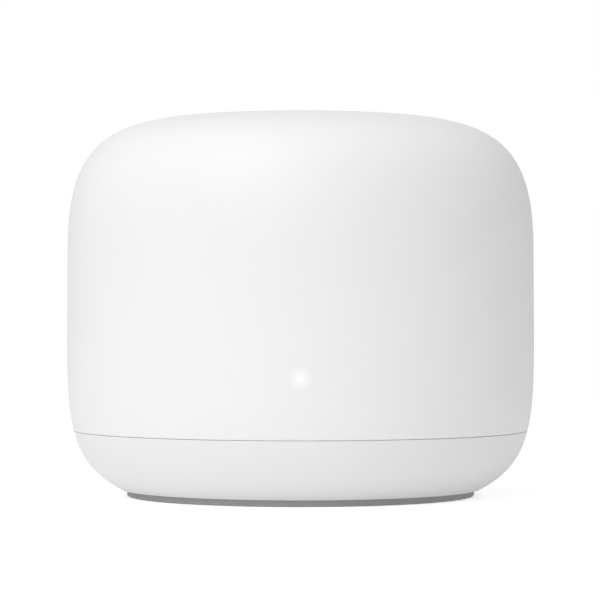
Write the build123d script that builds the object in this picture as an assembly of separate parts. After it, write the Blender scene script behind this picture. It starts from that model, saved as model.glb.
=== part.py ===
from build123d import *
import os
from math import cos, radians, sin

# A table-top wireless router: a round, softly barrelled plastic housing that stands on a rubber ring.
# A deep top shell snaps over a shallow bowl. A recessed bay at the back of the bowl holds the power inlet
# and two network sockets. Inside, a round circuit board hangs the sockets below itself and carries the
# shielded chips, a cast heat sink and a frame with five stamped aerials above itself.
# Millimetres. The axis of the housing is Z, the table is Z = 0, the status light faces -Y, the ports +Y.

# ---- Housing ----
widest_radius = 55.0
height = 90.4
crown_height = 32.5  # from the widest ring up to the top
crown_side_pull = 0.96  # how far the side keeps upright before it turns over, as a share of the crown
crown_top_pull = 0.75  # how far the top keeps flat before it turns down, as a share of the radius
bowl_side_pull = 0.67  # the same for the side below the widest ring
bowl_end_pull = 16.6
bowl_slope = 27.2  # slope of the bowl where it meets its flat underside, in degrees
foot_setback = 12.65  # from the widest radius in to the edge of the flat underside
wall = 2.2
seam_z = 15.5
seam_gap = 0.12
seam_edge = 0.1  # rounding of the two edges at the seam
fit_gap = 0.25  # clearance between plastic parts that nest
tongue_wall = 1.4
tongue_rise = 4.0  # how far the bowl's tongue stands up inside the top shell
tongue_root = 3.0

# ---- Snaps between top shell and tongue ----
snap_angles = (-135, -90, -45, 0, 45, 135, 180)  # from +X, none at the port bay
snap_width = 9.0
snap_height = 1.4
snap_reach = 0.9  # past the tongue's outer face
snap_rise = 1.2  # above the seam

# ---- Foot ----
foot_height = 1.6
foot_inset = 1.35  # from the edge of the flat underside in to the foot
foot_width = 8.0
foot_sunk = 0.6  # depth of the groove that the foot sits in

# ---- Port bay ----
bay_margin = 3.15  # from the bay's sides to the outer sockets
bay_corner = 5.0
bay_depth = 16.5  # from the widest radius in to the face of the port panel
bay_headroom = 3.6  # above the sockets
bezel_wall = 1.4
bezel_setback = 0.35
panel_thickness = 1.6
port_gap = 0.25
port_proud = 0.4
port_lift = 0.9  # above the floor of the bay

# ---- Network sockets ----
socket_width = 16.2
socket_height = 13.3
socket_depth = 21.0
socket_metal = 0.4
socket_gap = 3.0  # between the two sockets
insert_gap = 0.05
insert_setback = 0.3
cavity_width = 11.9
cavity_depth = 14.5
cavity_low = 3.8  # from the insert's underside up to the plug's space
cavity_high = 10.7
latch_width = 6.4
latch_low = 2.4
latch_nib_width = 3.8
latch_nib_low = 1.0
contact_count = 8
contact_pitch = 1.02
contact_width = 0.45
contact_thickness = 0.35
contact_drop = 2.0
contact_front = 2.5
contact_back = 11.5

# ---- Power inlet ----
inlet_width = 9.0
inlet_height = 11.0
inlet_depth = 14.0
inlet_nose_radius = 4.2
inlet_bore_radius = 3.15
inlet_bore_depth = 9.5
inlet_axis_drop = 6.0  # below the circuit board
inlet_gap = 3.3  # from the nearer socket
inlet_nose_root = 1.0
pin_radius = 1.0
pin_short = 0.5
pin_rounding = 0.6

# ---- Circuit board and fixings ----
board_thickness = 1.6
board_edge_gap = 8.0  # from the widest radius
board_back_gap = 0.6
boss_circle_inset = 15.0
boss_angles = (25, 155, 215, 325)
boss_radius = 3.5
boss_bore_depth = 9.0
screw_radius = 1.25
screw_head_radius = 2.5
screw_head_height = 1.8
screw_drive_radius = 1.1
screw_drive_depth = 0.9
thread_gap = 0.05
hole_gap = 0.25

# ---- Chips and shields on the top of the board ----
shield_height = 2.6
shield_metal = 0.3
chip_height = 1.3
pad_thickness = 0.9
soc_shield_size = (32.0, 32.0)
soc_shield_at = (0.0, -6.0)
radio_shield_size = (16.0, 24.0)
radio_shield_x = 25.0
radio_shield_y = -2.0

# ---- Power parts below the board ----
capacitor_sizes = ((4.0, 10.5, -30.0, 4.0), (4.0, 10.5, -30.0, -6.0), (3.1, 7.5, -21.0, -16.0))  # r, h, x, y
coil_places = ((30.0, -8.0), (20.0, -14.0), (9.0, -22.0))
coil_size = 7.0
coil_height = 4.0
transformer_size = (16.0, 12.0, 6.0)
transformer_gap = 3.0  # behind its socket

# ---- Heat sink ----
sink_edge_gap = 11.8  # from the widest radius
sink_plate = 3.0
sink_lift = 4.2  # plate above the board
fin_thickness = 1.6
fin_pitch = 7.0
fin_edge_gap = 19.0
post_radius = 3.4
post_x = 30.0

# ---- Aerial frame ----
frame_top_gap = 16.0  # from the top of the housing down to the frame's upper face
frame_thickness = 2.0
frame_edge_gap = 9.0
frame_hole_radius = 21.0
leg_width = 16.0
leg_thickness = 1.6
leg_clear = 1.2  # a leg's end above the heat sink's plate
fin_clear = 3.0
peg_radius = 0.8
peg_length = 1.0

# ---- Aerials and their leads ----
wifi_angles = (45, 135, 225, 315)
mesh_angle = 180
aerial_width = 12.0
aerial_low_gap = 9.7  # from a leg's lower end up to its aerial
mesh_aerial_height = 18.0
aerial_thickness = 0.4
aerial_top_gap = 3.0  # below the frame's ring
aerial_slot = 2.0
feed_tab = 2.0
lead_radius = 0.6
plug_radius = 1.4
plug_height = 1.6
plug_ring_inset = 11.0  # from the board's edge

# ---- Status light ----
light_z = 29.3
light_skin = 0.7
pipe_radius = 1.5
pipe_gap = 0.05
holder_radius = 2.9
light_board_width = 12.0
light_board_lift = 3.0  # lower edge above the circuit board
light_board_rise = 5.0  # upper edge above the light
light_board_thickness = 0.8
led_size = (2.8, 3.5)
led_thickness = 1.0
led_gap = 0.1
holder_block = (8.0, 7.2, 2.4)  # width, height and depth of the holder's foot
ribbon_width = 5.0
ribbon_thickness = 0.3
ribbon_bend = 1.2
ribbon_reach = 5.5  # from the light board in to the connector
ribbon_lift = 0.9  # above the circuit board
connector_size = (8.0, 3.0, 1.6)

# ---- Reset button ----
reset_x = 25.0
reset_y = 8.0
button_radius = 2.4
button_gap = 0.15
button_recess = 0.3
button_flange = 1.1
button_flange_thickness = 1.2
guide_wall = 1.4
guide_height = 7.0
button_tip_radius = 1.4
button_travel = 0.5
switch_size = 6.0
switch_height = 3.6
plunger_radius = 1.7
plunger_show = 1.0

# ---- Underside ----
vent_count = 24
vent_inner = 13.5
vent_outer = 20.5
vent_width = 1.8
label_radius = 11.0
label_thickness = 0.15
label_recess = 0.1

# ---- Worked out from the sizes above ----
slope = radians(bowl_slope)
widest_z = height - crown_height
underside_radius = widest_radius - foot_setback
floor_top = foot_height + wall * cos(slope)
panel_y = widest_radius - bay_depth
bay_floor = floor_top + 2 * port_gap + bezel_wall
socket_low = bay_floor + port_lift
board_low = socket_low + socket_height
board_top = board_low + board_thickness
bay_roof = board_low + bay_headroom
socket_front = panel_y + port_proud
board_radius = widest_radius - board_edge_gap
board_back = panel_y - panel_thickness - board_back_gap
boss_circle = widest_radius - boss_circle_inset
sink_low = board_top + sink_lift
sink_top = sink_low + sink_plate
sink_radius = widest_radius - sink_edge_gap
frame_top = height - frame_top_gap
frame_low = frame_top - frame_thickness
frame_radius = widest_radius - frame_edge_gap
fin_top = frame_low - fin_clear
leg_low = sink_top + leg_clear
aerial_top = frame_low - aerial_top_gap
wifi_aerial_height = aerial_top - leg_low - aerial_low_gap
bay_width = 2 * bay_margin + 2 * socket_width + socket_gap + inlet_gap + inlet_width
lan_x = -bay_width / 2 + bay_margin + socket_width / 2
wan_x = lan_x + socket_width + socket_gap
inlet_x = wan_x + socket_width / 2 + inlet_gap + inlet_width / 2
inlet_z = board_low - inlet_axis_drop
socket_ports = {"wan": wan_x, "lan": lan_x}
guide_top = floor_top + guide_height
switch_low = board_low - switch_height
plunger_low = switch_low - plunger_show


# ---- Plain shapes ----
def block(low, high):
    """Box between two opposite corners."""
    size = [b - a for a, b in zip(low, high)]
    middle = [(a + b) / 2 for a, b in zip(low, high)]
    return Pos(*middle) * Box(*size)


def rod(radius, z_low, z_high, x=0.0, y=0.0):
    """Upright cylinder."""
    return Pos(x, y, (z_low + z_high) / 2) * Cylinder(radius, z_high - z_low)


def rod_along_y(radius, y_low, y_high, x, z):
    """Cylinder that lies along Y."""
    return Pos(x, (y_low + y_high) / 2, z) * Rot(90, 0, 0) * Cylinder(radius, y_high - y_low)


def rod_along_x(radius, x_low, x_high, y, z):
    """Cylinder that lies along X."""
    return Pos((x_low + x_high) / 2, y, z) * Rot(0, 90, 0) * Cylinder(radius, x_high - x_low)


def turned(angle, shape):
    """The shape turned about the housing's axis."""
    return Rot(0, 0, angle) * shape


def slab(z_low, z_high):
    """Everything inside the housing's width between two heights."""
    return rod(2 * widest_radius, z_low, z_high)


def polar(radius, angle):
    """A point on a circle about the housing's axis."""
    return radius * cos(radians(angle)), radius * sin(radians(angle))


# ---- The housing's outline, which every shell and nesting part follows ----
def outline(inset):
    """Control points of the crown's and the bowl's curves, as (radius, height), moved inwards by inset."""
    radius = widest_radius - inset
    top = height - inset
    low_radius = underside_radius - inset * sin(slope)
    low_z = foot_height + inset * cos(slope)
    crown = (
        (radius, widest_z),
        (radius, widest_z + crown_side_pull * (top - widest_z)),
        (crown_top_pull * radius, top),
        (0, top),
    )
    bowl = (
        (radius, widest_z),
        (radius, widest_z - bowl_side_pull * (widest_z - low_z)),
        (low_radius + bowl_end_pull * cos(slope), low_z + bowl_end_pull * sin(slope)),
        (low_radius, low_z),
    )
    return crown, bowl


def envelope(inset):
    """Solid inside the outline."""
    crown, bowl = outline(inset)
    top, low = crown[-1], bowl[-1]
    edges = [Bezier(*[(r, 0, z) for r, z in curve]) for curve in (crown, bowl)]
    edges += [Line((low[0], 0, low[1]), (0, 0, low[1])), Line((0, 0, low[1]), (0, 0, top[1]))]
    return revolve(make_face(edges), Axis.Z, 360)


def outline_radius(inset, z):
    """Radius of the outline at a height."""
    crown, bowl = outline(inset)
    curve, rising = (crown, True) if z >= widest_z else (bowl, False)
    low, high = 0.0, 1.0
    for _ in range(50):
        t = (low + high) / 2
        shares = ((1 - t) ** 3, 3 * t * (1 - t) ** 2, 3 * t * t * (1 - t), t**3)
        at_z = sum(share * point[1] for share, point in zip(shares, curve))
        if (at_z < z) == rising:
            low = t
        else:
            high = t
    return sum(share * point[0] for share, point in zip(shares, curve))


def bay_prism(grow, y_low, y_high):
    """The port bay's clear section, grown on every side, as a prism along Y."""
    section = RectangleRounded(
        bay_width + 2 * grow, bay_roof - bay_floor + 2 * grow, bay_corner + grow
    )
    place = Plane((0, y_low, (bay_floor + bay_roof) / 2), x_dir=(-1, 0, 0), z_dir=(0, 1, 0))
    return extrude(place * section, y_high - y_low)


# ---- Housing parts ----
def snap(grow):
    """One snap tooth, or with grow its window, at angle 0."""
    middle_z = seam_z + seam_gap / 2 + snap_rise + snap_height / 2
    tongue_face = outline_radius(wall + fit_gap, middle_z)
    half_width = snap_width / 2 + grow
    half_height = snap_height / 2 + grow
    low = (tongue_face - snap_reach - 3 * grow, -half_width, middle_z - half_height)
    high = (widest_radius, half_width, middle_z + half_height)
    return block(low, high) & envelope(wall / 2)


def snaps(grow):
    return [turned(angle, snap(grow)) for angle in snap_angles]


def top_shell():
    """Deep cup with snap teeth at its rim, a thinned spot for the light and three stops for the frame."""
    rim = seam_z + seam_gap / 2
    cup = (envelope(0) - envelope(wall)) & slab(rim, height + 1)
    for x, y in (polar(post_x, angle) for angle in (90, 210, 330)):
        cup += rod(post_radius, frame_top + fit_gap, height, x, y) & envelope(wall / 2)
    for tooth in snaps(0):
        cup += tooth
    cup -= rod_along_y(
        holder_radius + fit_gap,
        light_skin - outline_radius(0, light_z),
        -frame_radius,
        0,
        light_z,
    )
    cup -= bay_prism(bezel_wall + port_gap, board_back, widest_radius + 1)
    outer = cup.edges().filter_by(GeomType.CIRCLE).group_by(Axis.Z)[0].sort_by(SortBy.LENGTH)[-1]
    return fillet(outer, seam_edge)


def tongue():
    """Ring that stands up inside the top shell, rooted on the bowl's wall, with a window for each snap."""
    low = seam_z - tongue_root
    seam_face = seam_z - seam_gap / 2
    inner = wall + fit_gap + tongue_wall
    ring = (envelope(wall + fit_gap) - envelope(inner)) & slab(low, seam_z + tongue_rise)
    root = (envelope(wall / 2) - envelope(inner)) & slab(low, seam_face)
    for window in snaps(fit_gap):
        ring -= window
    return ring + root


def base_shell():
    """Bowl with a flat floor, tongue, screw bosses, button guide, foot groove, vents and port opening."""
    bowl = (envelope(0) - envelope(wall)) & slab(0, seam_z - seam_gap / 2)
    outer = bowl.edges().filter_by(GeomType.CIRCLE).group_by(Axis.Z)[-1].sort_by(SortBy.LENGTH)[-1]
    bowl = fillet(outer, seam_edge) + tongue()
    for angle in boss_angles:
        x, y = polar(boss_circle, angle)
        bowl += rod(boss_radius, foot_height + wall / 2, board_low, x, y) & envelope(wall / 2)
    guide_radius = button_radius + button_gap + guide_wall
    bowl += rod(guide_radius, foot_height + wall / 2, guide_top, reset_x, reset_y)
    for angle in boss_angles:
        x, y = polar(boss_circle, angle)
        bowl -= rod(screw_radius + thread_gap, board_low - boss_bore_depth, board_low + 1, x, y)
    bowl -= rod(button_radius + button_gap, 0, guide_top + 1, reset_x, reset_y)
    bowl -= bay_prism(bezel_wall + port_gap, board_back - port_gap, widest_radius + 1)
    foot_outer = underside_radius - foot_inset + fit_gap / 2
    foot_inner = foot_outer - foot_width - fit_gap
    groove_top = foot_height + foot_sunk
    bowl -= rod(foot_outer, 0, groove_top) - rod(foot_inner, 0, groove_top)
    bowl -= rod(label_radius + fit_gap, 0, foot_height + label_recess)
    slot = block((vent_inner, -vent_width / 2, 0), (vent_outer, vent_width / 2, floor_top + 1))
    for end in (vent_inner, vent_outer):
        slot += rod(vent_width / 2, 0, floor_top + 1, end, 0)
    for turn in range(vent_count):
        bowl -= turned(turn * 360 / vent_count, slot)
    return bowl


def foot_ring():
    """Soft ring with rounded lower edges, glued in the bowl's groove."""
    outer = underside_radius - foot_inset
    ring = rod(outer, 0, foot_height + foot_sunk) - rod(outer - foot_width, -1, foot_height + foot_sunk + 1)
    low_edges = ring.edges().filter_by(GeomType.CIRCLE).group_by(Axis.Z)[0]
    return fillet(low_edges, 0.4)


def rating_label():
    top = foot_height + label_recess
    return rod(label_radius, top - label_thickness, top)


def port_bezel():
    """Tub that lines the bay: a panel with the port holes, and walls that reach the housing's skin."""
    tub = bay_prism(bezel_wall, panel_y - panel_thickness, widest_radius) & envelope(bezel_setback)
    tub -= bay_prism(0, panel_y, widest_radius + 1)
    hole_low, hole_high = panel_y - panel_thickness - 1, panel_y + 1
    for x in socket_ports.values():
        half = socket_width / 2 + port_gap
        tub -= block(
            (x - half, hole_low, socket_low - port_gap),
            (x + half, hole_high, socket_low + socket_height + port_gap),
        )
    tub -= rod_along_y(inlet_nose_radius + port_gap, hole_low, hole_high, inlet_x, inlet_z)
    return tub


# ---- Network sockets: metal shield, plastic insert, eight spring contacts ----
def socket_shield(x):
    half, metal = socket_width / 2, socket_metal
    back = socket_front - socket_depth
    outer = block((x - half, back, socket_low), (x + half, socket_front, board_low))
    inner = block(
        (x - half + metal, back + metal, socket_low + metal),
        (x + half - metal, socket_front + 1, board_low - metal),
    )
    return outer - inner


def socket_insert(x):
    skin = socket_metal + insert_gap
    half = socket_width / 2 - skin
    low, front = socket_low + skin, socket_front - insert_setback
    body = block((x - half, socket_front - socket_depth + skin, low), (x + half, front, board_low - skin))
    steps = (
        (cavity_width, cavity_low, cavity_high),
        (latch_width, latch_low, cavity_low + 0.1),
        (latch_nib_width, latch_nib_low, latch_low + 0.1),
    )
    for width, step_low, step_high in steps:
        body -= block(
            (x - width / 2, front - cavity_depth, low + step_low),
            (x + width / 2, front + 1, low + step_high),
        )
    return body


def socket_contacts(x):
    """Springs that slope back and down from the cavity's roof."""
    roof = socket_low + socket_metal + insert_gap + cavity_high
    front = socket_front - contact_front
    back = socket_front - contact_back
    profile = Polyline(
        (0, front, roof),
        (0, front - 4 * contact_thickness, roof),
        (0, back, roof - contact_drop + contact_thickness),
        (0, back, roof - contact_drop),
        close=True,
    )
    strip = extrude(make_face(profile), contact_width / 2, both=True)
    first = x - contact_pitch * (contact_count - 1) / 2
    return [Pos(first + contact_pitch * n, 0, 0) * strip for n in range(contact_count)]


def transformer(x):
    wide, deep, tall = transformer_size
    back = socket_front - socket_depth - transformer_gap
    return block((x - wide / 2, back - deep, board_low - tall), (x + wide / 2, back, board_low))


# ---- Power inlet ----
def inlet_body():
    back = socket_front - inlet_depth
    half = inlet_width / 2
    body = block(
        (inlet_x - half, back, board_low - inlet_height),
        (inlet_x + half, panel_y - panel_thickness - port_gap, board_low),
    )
    body += rod_along_y(inlet_nose_radius, back + inlet_nose_root, socket_front, inlet_x, inlet_z)
    body -= rod_along_y(
        inlet_bore_radius, socket_front - inlet_bore_depth, socket_front + 1, inlet_x, inlet_z
    )
    return body


def inlet_pin():
    back = socket_front - inlet_bore_depth
    pin = rod_along_y(pin_radius, back, socket_front - pin_short, inlet_x, inlet_z)
    tip = pin.edges().filter_by(GeomType.CIRCLE).sort_by(Axis.Y)[-1]
    return fillet(tip, pin_rounding)


# ---- Circuit board ----
def main_board():
    board = rod(board_radius, board_low, board_top)
    board &= block((-board_radius, -board_radius, 0), (board_radius, board_back, board_top))
    for angle in boss_angles:
        x, y = polar(boss_circle, angle)
        board -= rod(screw_radius + hole_gap, board_low - 1, board_top + 1, x, y)
    return board


def screw(head_low, length):
    """Pan-head screw, its head's underside at head_low, with a six-sided drive."""
    shape = rod(screw_radius, head_low - length, head_low + 0.1)
    head = rod(screw_head_radius, head_low, head_low + screw_head_height)
    head = fillet(head.edges().filter_by(GeomType.CIRCLE).sort_by(Axis.Z)[-1], 0.5)
    drive_low = head_low + screw_head_height - screw_drive_depth
    drive = extrude(Pos(0, 0, drive_low) * RegularPolygon(screw_drive_radius, 6), screw_head_height)
    return shape + head - drive


def sink_screws():
    length = sink_top - board_low + boss_bore_depth - 1.5
    return [Pos(*polar(boss_circle, angle)) * screw(sink_top, length) for angle in boss_angles]


def chip(centre, size, tall=chip_height):
    x, y = centre
    wide, deep = size
    low = (x - wide / 2, y - deep / 2, board_top)
    return block(low, (x + wide / 2, y + deep / 2, board_top + tall))


def shield_can(centre, size):
    """Drawn tin lid over a group of chips, open below."""
    outer = chip(centre, size, shield_height)
    inner_size = [side - 2 * shield_metal for side in size]
    inner = chip(centre, inner_size, shield_height - shield_metal)
    return outer - inner


def pad_on_shield(centre, size):
    """Soft heat pad between a shield and the heat sink."""
    x, y = centre
    low = board_top + shield_height
    half = [side / 2 - 3 for side in size]
    return block((x - half[0], y - half[1], low), (x + half[0], y + half[1], low + pad_thickness))


shields = {
    "processor": (soc_shield_at, soc_shield_size),
    "radio_left": ((-radio_shield_x, radio_shield_y), radio_shield_size),
    "radio_right": ((radio_shield_x, radio_shield_y), radio_shield_size),
}


# ---- Heat sink ----
def heat_sink():
    """Round cast plate with parallel fins, feet on the board, pedestals over the shields and two posts."""
    sink = rod(sink_radius, sink_low, sink_top)
    fin_radius = widest_radius - fin_edge_gap
    count = int((fin_radius - fin_thickness) / fin_pitch)
    for n in range(-count, count + 1):
        reach = (fin_radius**2 - (n * fin_pitch) ** 2) ** 0.5
        sink += block(
            (n * fin_pitch - fin_thickness / 2, -reach, sink_top - 1),
            (n * fin_pitch + fin_thickness / 2, reach, fin_top),
        )
    for side in (-1, 1):
        sink += rod(post_radius, sink_top - 1, frame_low, side * post_x, 0)
        sink -= rod(screw_radius + thread_gap, frame_low - boss_bore_depth, frame_low + 1, side * post_x, 0)
    for angle in boss_angles:
        x, y = polar(boss_circle, angle)
        if (x * x + y * y) ** 0.5 + boss_radius > sink_radius:
            sink += rod(boss_radius, sink_low, sink_top, x, y)
        sink += rod(boss_radius, board_top, sink_low + 1, x, y)
        sink -= rod(screw_radius + hole_gap, board_top - 1, sink_top + 1, x, y)
    for (x, y), size in shields.values():
        half = [side / 2 - 2 for side in size]
        low = board_top + shield_height + pad_thickness
        sink += block((x - half[0], y - half[1], low), (x + half[0], y + half[1], sink_low + 1))
    return sink


# ---- Aerial frame ----
def leg(low):
    """One leg of the frame at angle 0, from its ring down to low."""
    inner = frame_radius - leg_thickness
    return block((inner, -leg_width / 2, low), (frame_radius, leg_width / 2, frame_low + 1))


def pegs(aerial_height):
    """Two pegs that an aerial hangs on, at angle 0."""
    heights = (aerial_top - 2.5, aerial_top - aerial_height + 4.5)
    reach = frame_radius + peg_length
    return [rod_along_x(peg_radius, frame_radius - 1, reach, 0, z) for z in heights]


def aerial_frame():
    ring = rod(frame_radius, frame_low, frame_top) - rod(frame_hole_radius, frame_low - 1, frame_top + 1)
    for angle in wifi_angles:
        ring += turned(angle, leg(leg_low))
        for peg in pegs(wifi_aerial_height):
            ring += turned(angle, peg)
    ring += turned(mesh_angle, leg(aerial_top - mesh_aerial_height - 2))
    for peg in pegs(mesh_aerial_height):
        ring += turned(mesh_angle, peg)
    ring += turned(270, leg(board_top + light_board_lift))
    for side in (-1, 1):
        ring -= rod(screw_radius + hole_gap, frame_low - 1, frame_top + 1, side * post_x, 0)
    return ring


def frame_screws():
    return [Pos(side * post_x, 0) * screw(frame_top, boss_bore_depth) for side in (-1, 1)]


def aerial(tall):
    """Stamped strip with two open slots and a feed tab bent outwards at its lower end, at angle 0."""
    inner, outer = frame_radius, frame_radius + aerial_thickness
    low, high, half = aerial_top - tall, aerial_top, aerial_width / 2
    strip = block((inner, -half, low), (outer, half, high))
    for side, slot_z in ((-1, low + 0.3 * tall), (1, low + 0.62 * tall)):
        start, end = sorted((side * (half + 1), -side * half * 0.35))
        slot_low, slot_high = slot_z - aerial_slot / 2, slot_z + aerial_slot / 2
        strip -= block((inner - 1, start, slot_low), (outer + 1, end, slot_high))
    for z in (high - 2.5, low + 4.5):
        strip -= rod_along_x(peg_radius + 0.1, inner - 1, outer + 1, 0, z)
    tab = block((inner, -1.5, low), (outer + feed_tab, 1.5, low + aerial_thickness))
    return strip + tab


lead_at = frame_radius + aerial_thickness + feed_tab / 2
plug_at = board_radius - plug_ring_inset
plug_exit = plug_at + plug_radius + 0.6
lead_end_z = board_top + plug_height / 2


def lead(tall):
    """Coax lead at angle 0: down from the aerial's tab, round the heat sink's rim and in to its plug."""
    lift = lead_end_z
    points = (
        (lead_at, 0, aerial_top - tall),
        (lead_at, 0, lift + 8.5),
        (lead_at - 1.8, 0, lift + 3.1),
        (lead_at - 5.2, 0, lift),
        (plug_exit, 0, lift),
    )
    runs = [Vector(*b) - Vector(*a) for a, b in zip(points, points[1:])]
    radii = []
    for before, after in zip(runs, runs[1:]):
        half_turn = radians(before.get_angle(after) / 2)
        radii.append(0.45 * min(before.length, after.length) * cos(half_turn) / sin(half_turn))
    path = FilletPolyline(*points, radius=radii)
    start = Plane(origin=points[0], z_dir=(0, 0, -1))
    print("lead radii", [round(r, 1) for r in radii], "length", round(path.length, 1))
    return sweep(start * Circle(lead_radius), path=path)


def coax_plug():
    """Snap-on coax plug at angle 0, with the barrel that the lead enters."""
    plug = rod(plug_radius, board_top, board_top + plug_height, plug_at, 0)
    return plug + rod_along_x(0.75, plug_at, plug_exit, 0, lead_end_z)


# ---- Status light ----
light_board_low = board_top + light_board_lift
light_face = frame_radius + light_board_thickness
light_skin_face = outline_radius(0, light_z) - light_skin
ribbon_y = -frame_radius - light_board_thickness / 2


def light_board():
    half = light_board_width / 2
    low, high = light_board_low, light_z + light_board_rise
    return block((-half, -light_face, low), (half, -frame_radius, high))


def status_led():
    high, wide = led_size
    low = (-wide / 2, -light_face - led_thickness, light_z - high / 2)
    return block(low, (wide / 2, -light_face, light_z + high / 2))


def light_holder():
    """Opaque tube on the light board that carries the light pipe and keeps stray light in."""
    holder = rod_along_y(holder_radius, -light_skin_face + fit_gap, -light_face, 0, light_z)
    foot_wide, foot_high, foot_deep = holder_block
    low = (-foot_wide / 2, -light_face - foot_deep, light_z - foot_high / 2)
    holder += block(low, (foot_wide / 2, -light_face, light_z + foot_high / 2))
    holder -= rod_along_y(pipe_radius + pipe_gap, -widest_radius, -light_face, 0, light_z)
    high, wide = (side / 2 + led_gap for side in led_size)
    low = (-wide, -light_face - led_thickness - led_gap, light_z - high)
    return holder - block(low, (wide, -light_face + 1, light_z + high))


def light_pipe():
    back = -light_face - led_thickness - led_gap
    return rod_along_y(pipe_radius, -light_skin_face + fit_gap, back, 0, light_z)


def light_ribbon():
    """Flat ribbon from the light board's lower edge down and back to its connector on the main board."""
    start = (0, ribbon_y, light_board_low)
    bend = (0, ribbon_y, board_top + ribbon_lift)
    end = (0, ribbon_y + ribbon_reach, board_top + ribbon_lift)
    path = FilletPolyline(start, bend, end, radius=ribbon_bend)
    section = Plane(start, x_dir=(1, 0, 0), z_dir=(0, 0, -1)) * Rectangle(ribbon_width, ribbon_thickness)
    return sweep(section, path=path)


def ribbon_connector():
    wide, deep, tall = connector_size
    front = ribbon_y + ribbon_reach
    return block((-wide / 2, front, board_top), (wide / 2, front + deep, board_top + tall))


# ---- Reset button and its switch ----
def reset_button():
    """Long button: a cap flush in the floor, a flange that rests on the guide and a tip under the switch."""
    flange_top = guide_top + button_flange_thickness
    button = rod(button_radius, foot_height + button_recess, guide_top, reset_x, reset_y)
    button += rod(button_radius + button_flange, guide_top, flange_top, reset_x, reset_y)
    button += rod(button_tip_radius, flange_top, plunger_low, reset_x, reset_y)
    return button


def switch_body():
    half = switch_size / 2
    body = block((reset_x - half, reset_y - half, switch_low), (reset_x + half, reset_y + half, board_low))
    well = switch_low + 2 * button_travel + 1.2
    return body - rod(plunger_radius + button_gap, switch_low - 1, well, reset_x, reset_y)


def switch_plunger():
    return rod(plunger_radius, plunger_low, switch_low + 1.2, reset_x, reset_y)


# ---- Loose parts of the board ----
def capacitor(radius, tall, x, y):
    """Can that hangs below the board."""
    can = rod(radius, board_low - tall, board_low, x, y)
    return fillet(can.edges().filter_by(GeomType.CIRCLE).sort_by(Axis.Z)[0], 0.6)


def power_coil(x, y):
    """Square moulded coil below the board, with rounded corners."""
    half = coil_size / 2
    coil = block((x - half, y - half, board_low - coil_height), (x + half, y + half, board_low))
    return fillet(coil.edges().filter_by(Axis.Z), 1.0)


# ---- Writing the files ----
def save(node, shapes):
    """One STEP file per node. A list of shapes stays separate solids in it."""
    pieces = shapes if isinstance(shapes, list) else [shapes]
    solids = [solid for piece in pieces for solid in piece.solids()]
    export_step(Compound(children=solids) if len(solids) > 1 else solids[0], f"parts/{node}.step")


def main():
    os.makedirs("parts", exist_ok=True)
    save("top_shell", top_shell())
    save("base_shell", base_shell())
    save("foot_ring", foot_ring())
    save("rating_label", rating_label())
    save("port_bezel", port_bezel())
    for port, x in socket_ports.items():
        save(f"{port}_socket_shield", socket_shield(x))
        save(f"{port}_socket_insert", socket_insert(x))
        save(f"{port}_socket_contacts", socket_contacts(x))
        save(f"{port}_transformer", transformer(x))
    save("power_inlet_body", inlet_body())
    save("power_inlet_pin", inlet_pin())
    save("main_board", main_board())
    save("heat_sink", heat_sink())
    save("heat_sink_screws", sink_screws())
    for name, (centre, size) in shields.items():
        save(f"{name}_shield", shield_can(centre, size))
        save(f"{name}_heat_pad", pad_on_shield(centre, size))
    soc_x, soc_y = soc_shield_at
    save("processor_chip", chip((soc_x, soc_y + 5), (15, 15)))
    save("memory_chip", chip((soc_x - 7, soc_y - 9), (11, 8), 1.0))
    save("flash_chip", chip((soc_x + 8, soc_y - 9), (9, 10), 1.0))
    for side, name in ((-1, "left"), (1, "right")):
        x = side * radio_shield_x
        save(f"radio_chip_{name}", chip((x, radio_shield_y + 5), (9, 9), 1.0))
        amplifiers = [chip((x + step, radio_shield_y - 7), (3, 3), 0.8) for step in (-5, 0, 5)]
        save(f"amplifiers_{name}", amplifiers)
    save("mesh_radio_chip", chip((-8, 22), (7, 7), 1.0))
    save("capacitors", [capacitor(*sizes) for sizes in capacitor_sizes])
    save("power_coils", [power_coil(x, y) for x, y in coil_places])
    save("aerial_frame", aerial_frame())
    save("aerial_frame_screws", frame_screws())
    for angle, name in zip(wifi_angles, ("back_right", "back_left", "front_left", "front_right")):
        save(f"aerial_{name}", turned(angle, aerial(wifi_aerial_height)))
        save(f"aerial_lead_{name}", turned(angle, lead(wifi_aerial_height)))
    save("aerial_mesh", turned(mesh_angle, aerial(mesh_aerial_height)))
    save("aerial_lead_mesh", turned(mesh_angle, lead(mesh_aerial_height)))
    save("coax_plugs", [turned(angle, coax_plug()) for angle in (*wifi_angles, mesh_angle)])
    save("light_board", light_board())
    save("status_led", status_led())
    save("light_holder", light_holder())
    save("light_pipe", light_pipe())
    save("light_ribbon", light_ribbon())
    save("ribbon_connector", ribbon_connector())
    save("reset_button", reset_button())
    save("reset_switch_body", switch_body())
    save("reset_switch_plunger", switch_plunger())


main()
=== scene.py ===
from math import cos, hypot, pi, radians, sin
import bmesh
import bpy
from mathutils import Matrix, Vector
from mathutils.geometry import interpolate_bezier


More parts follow.
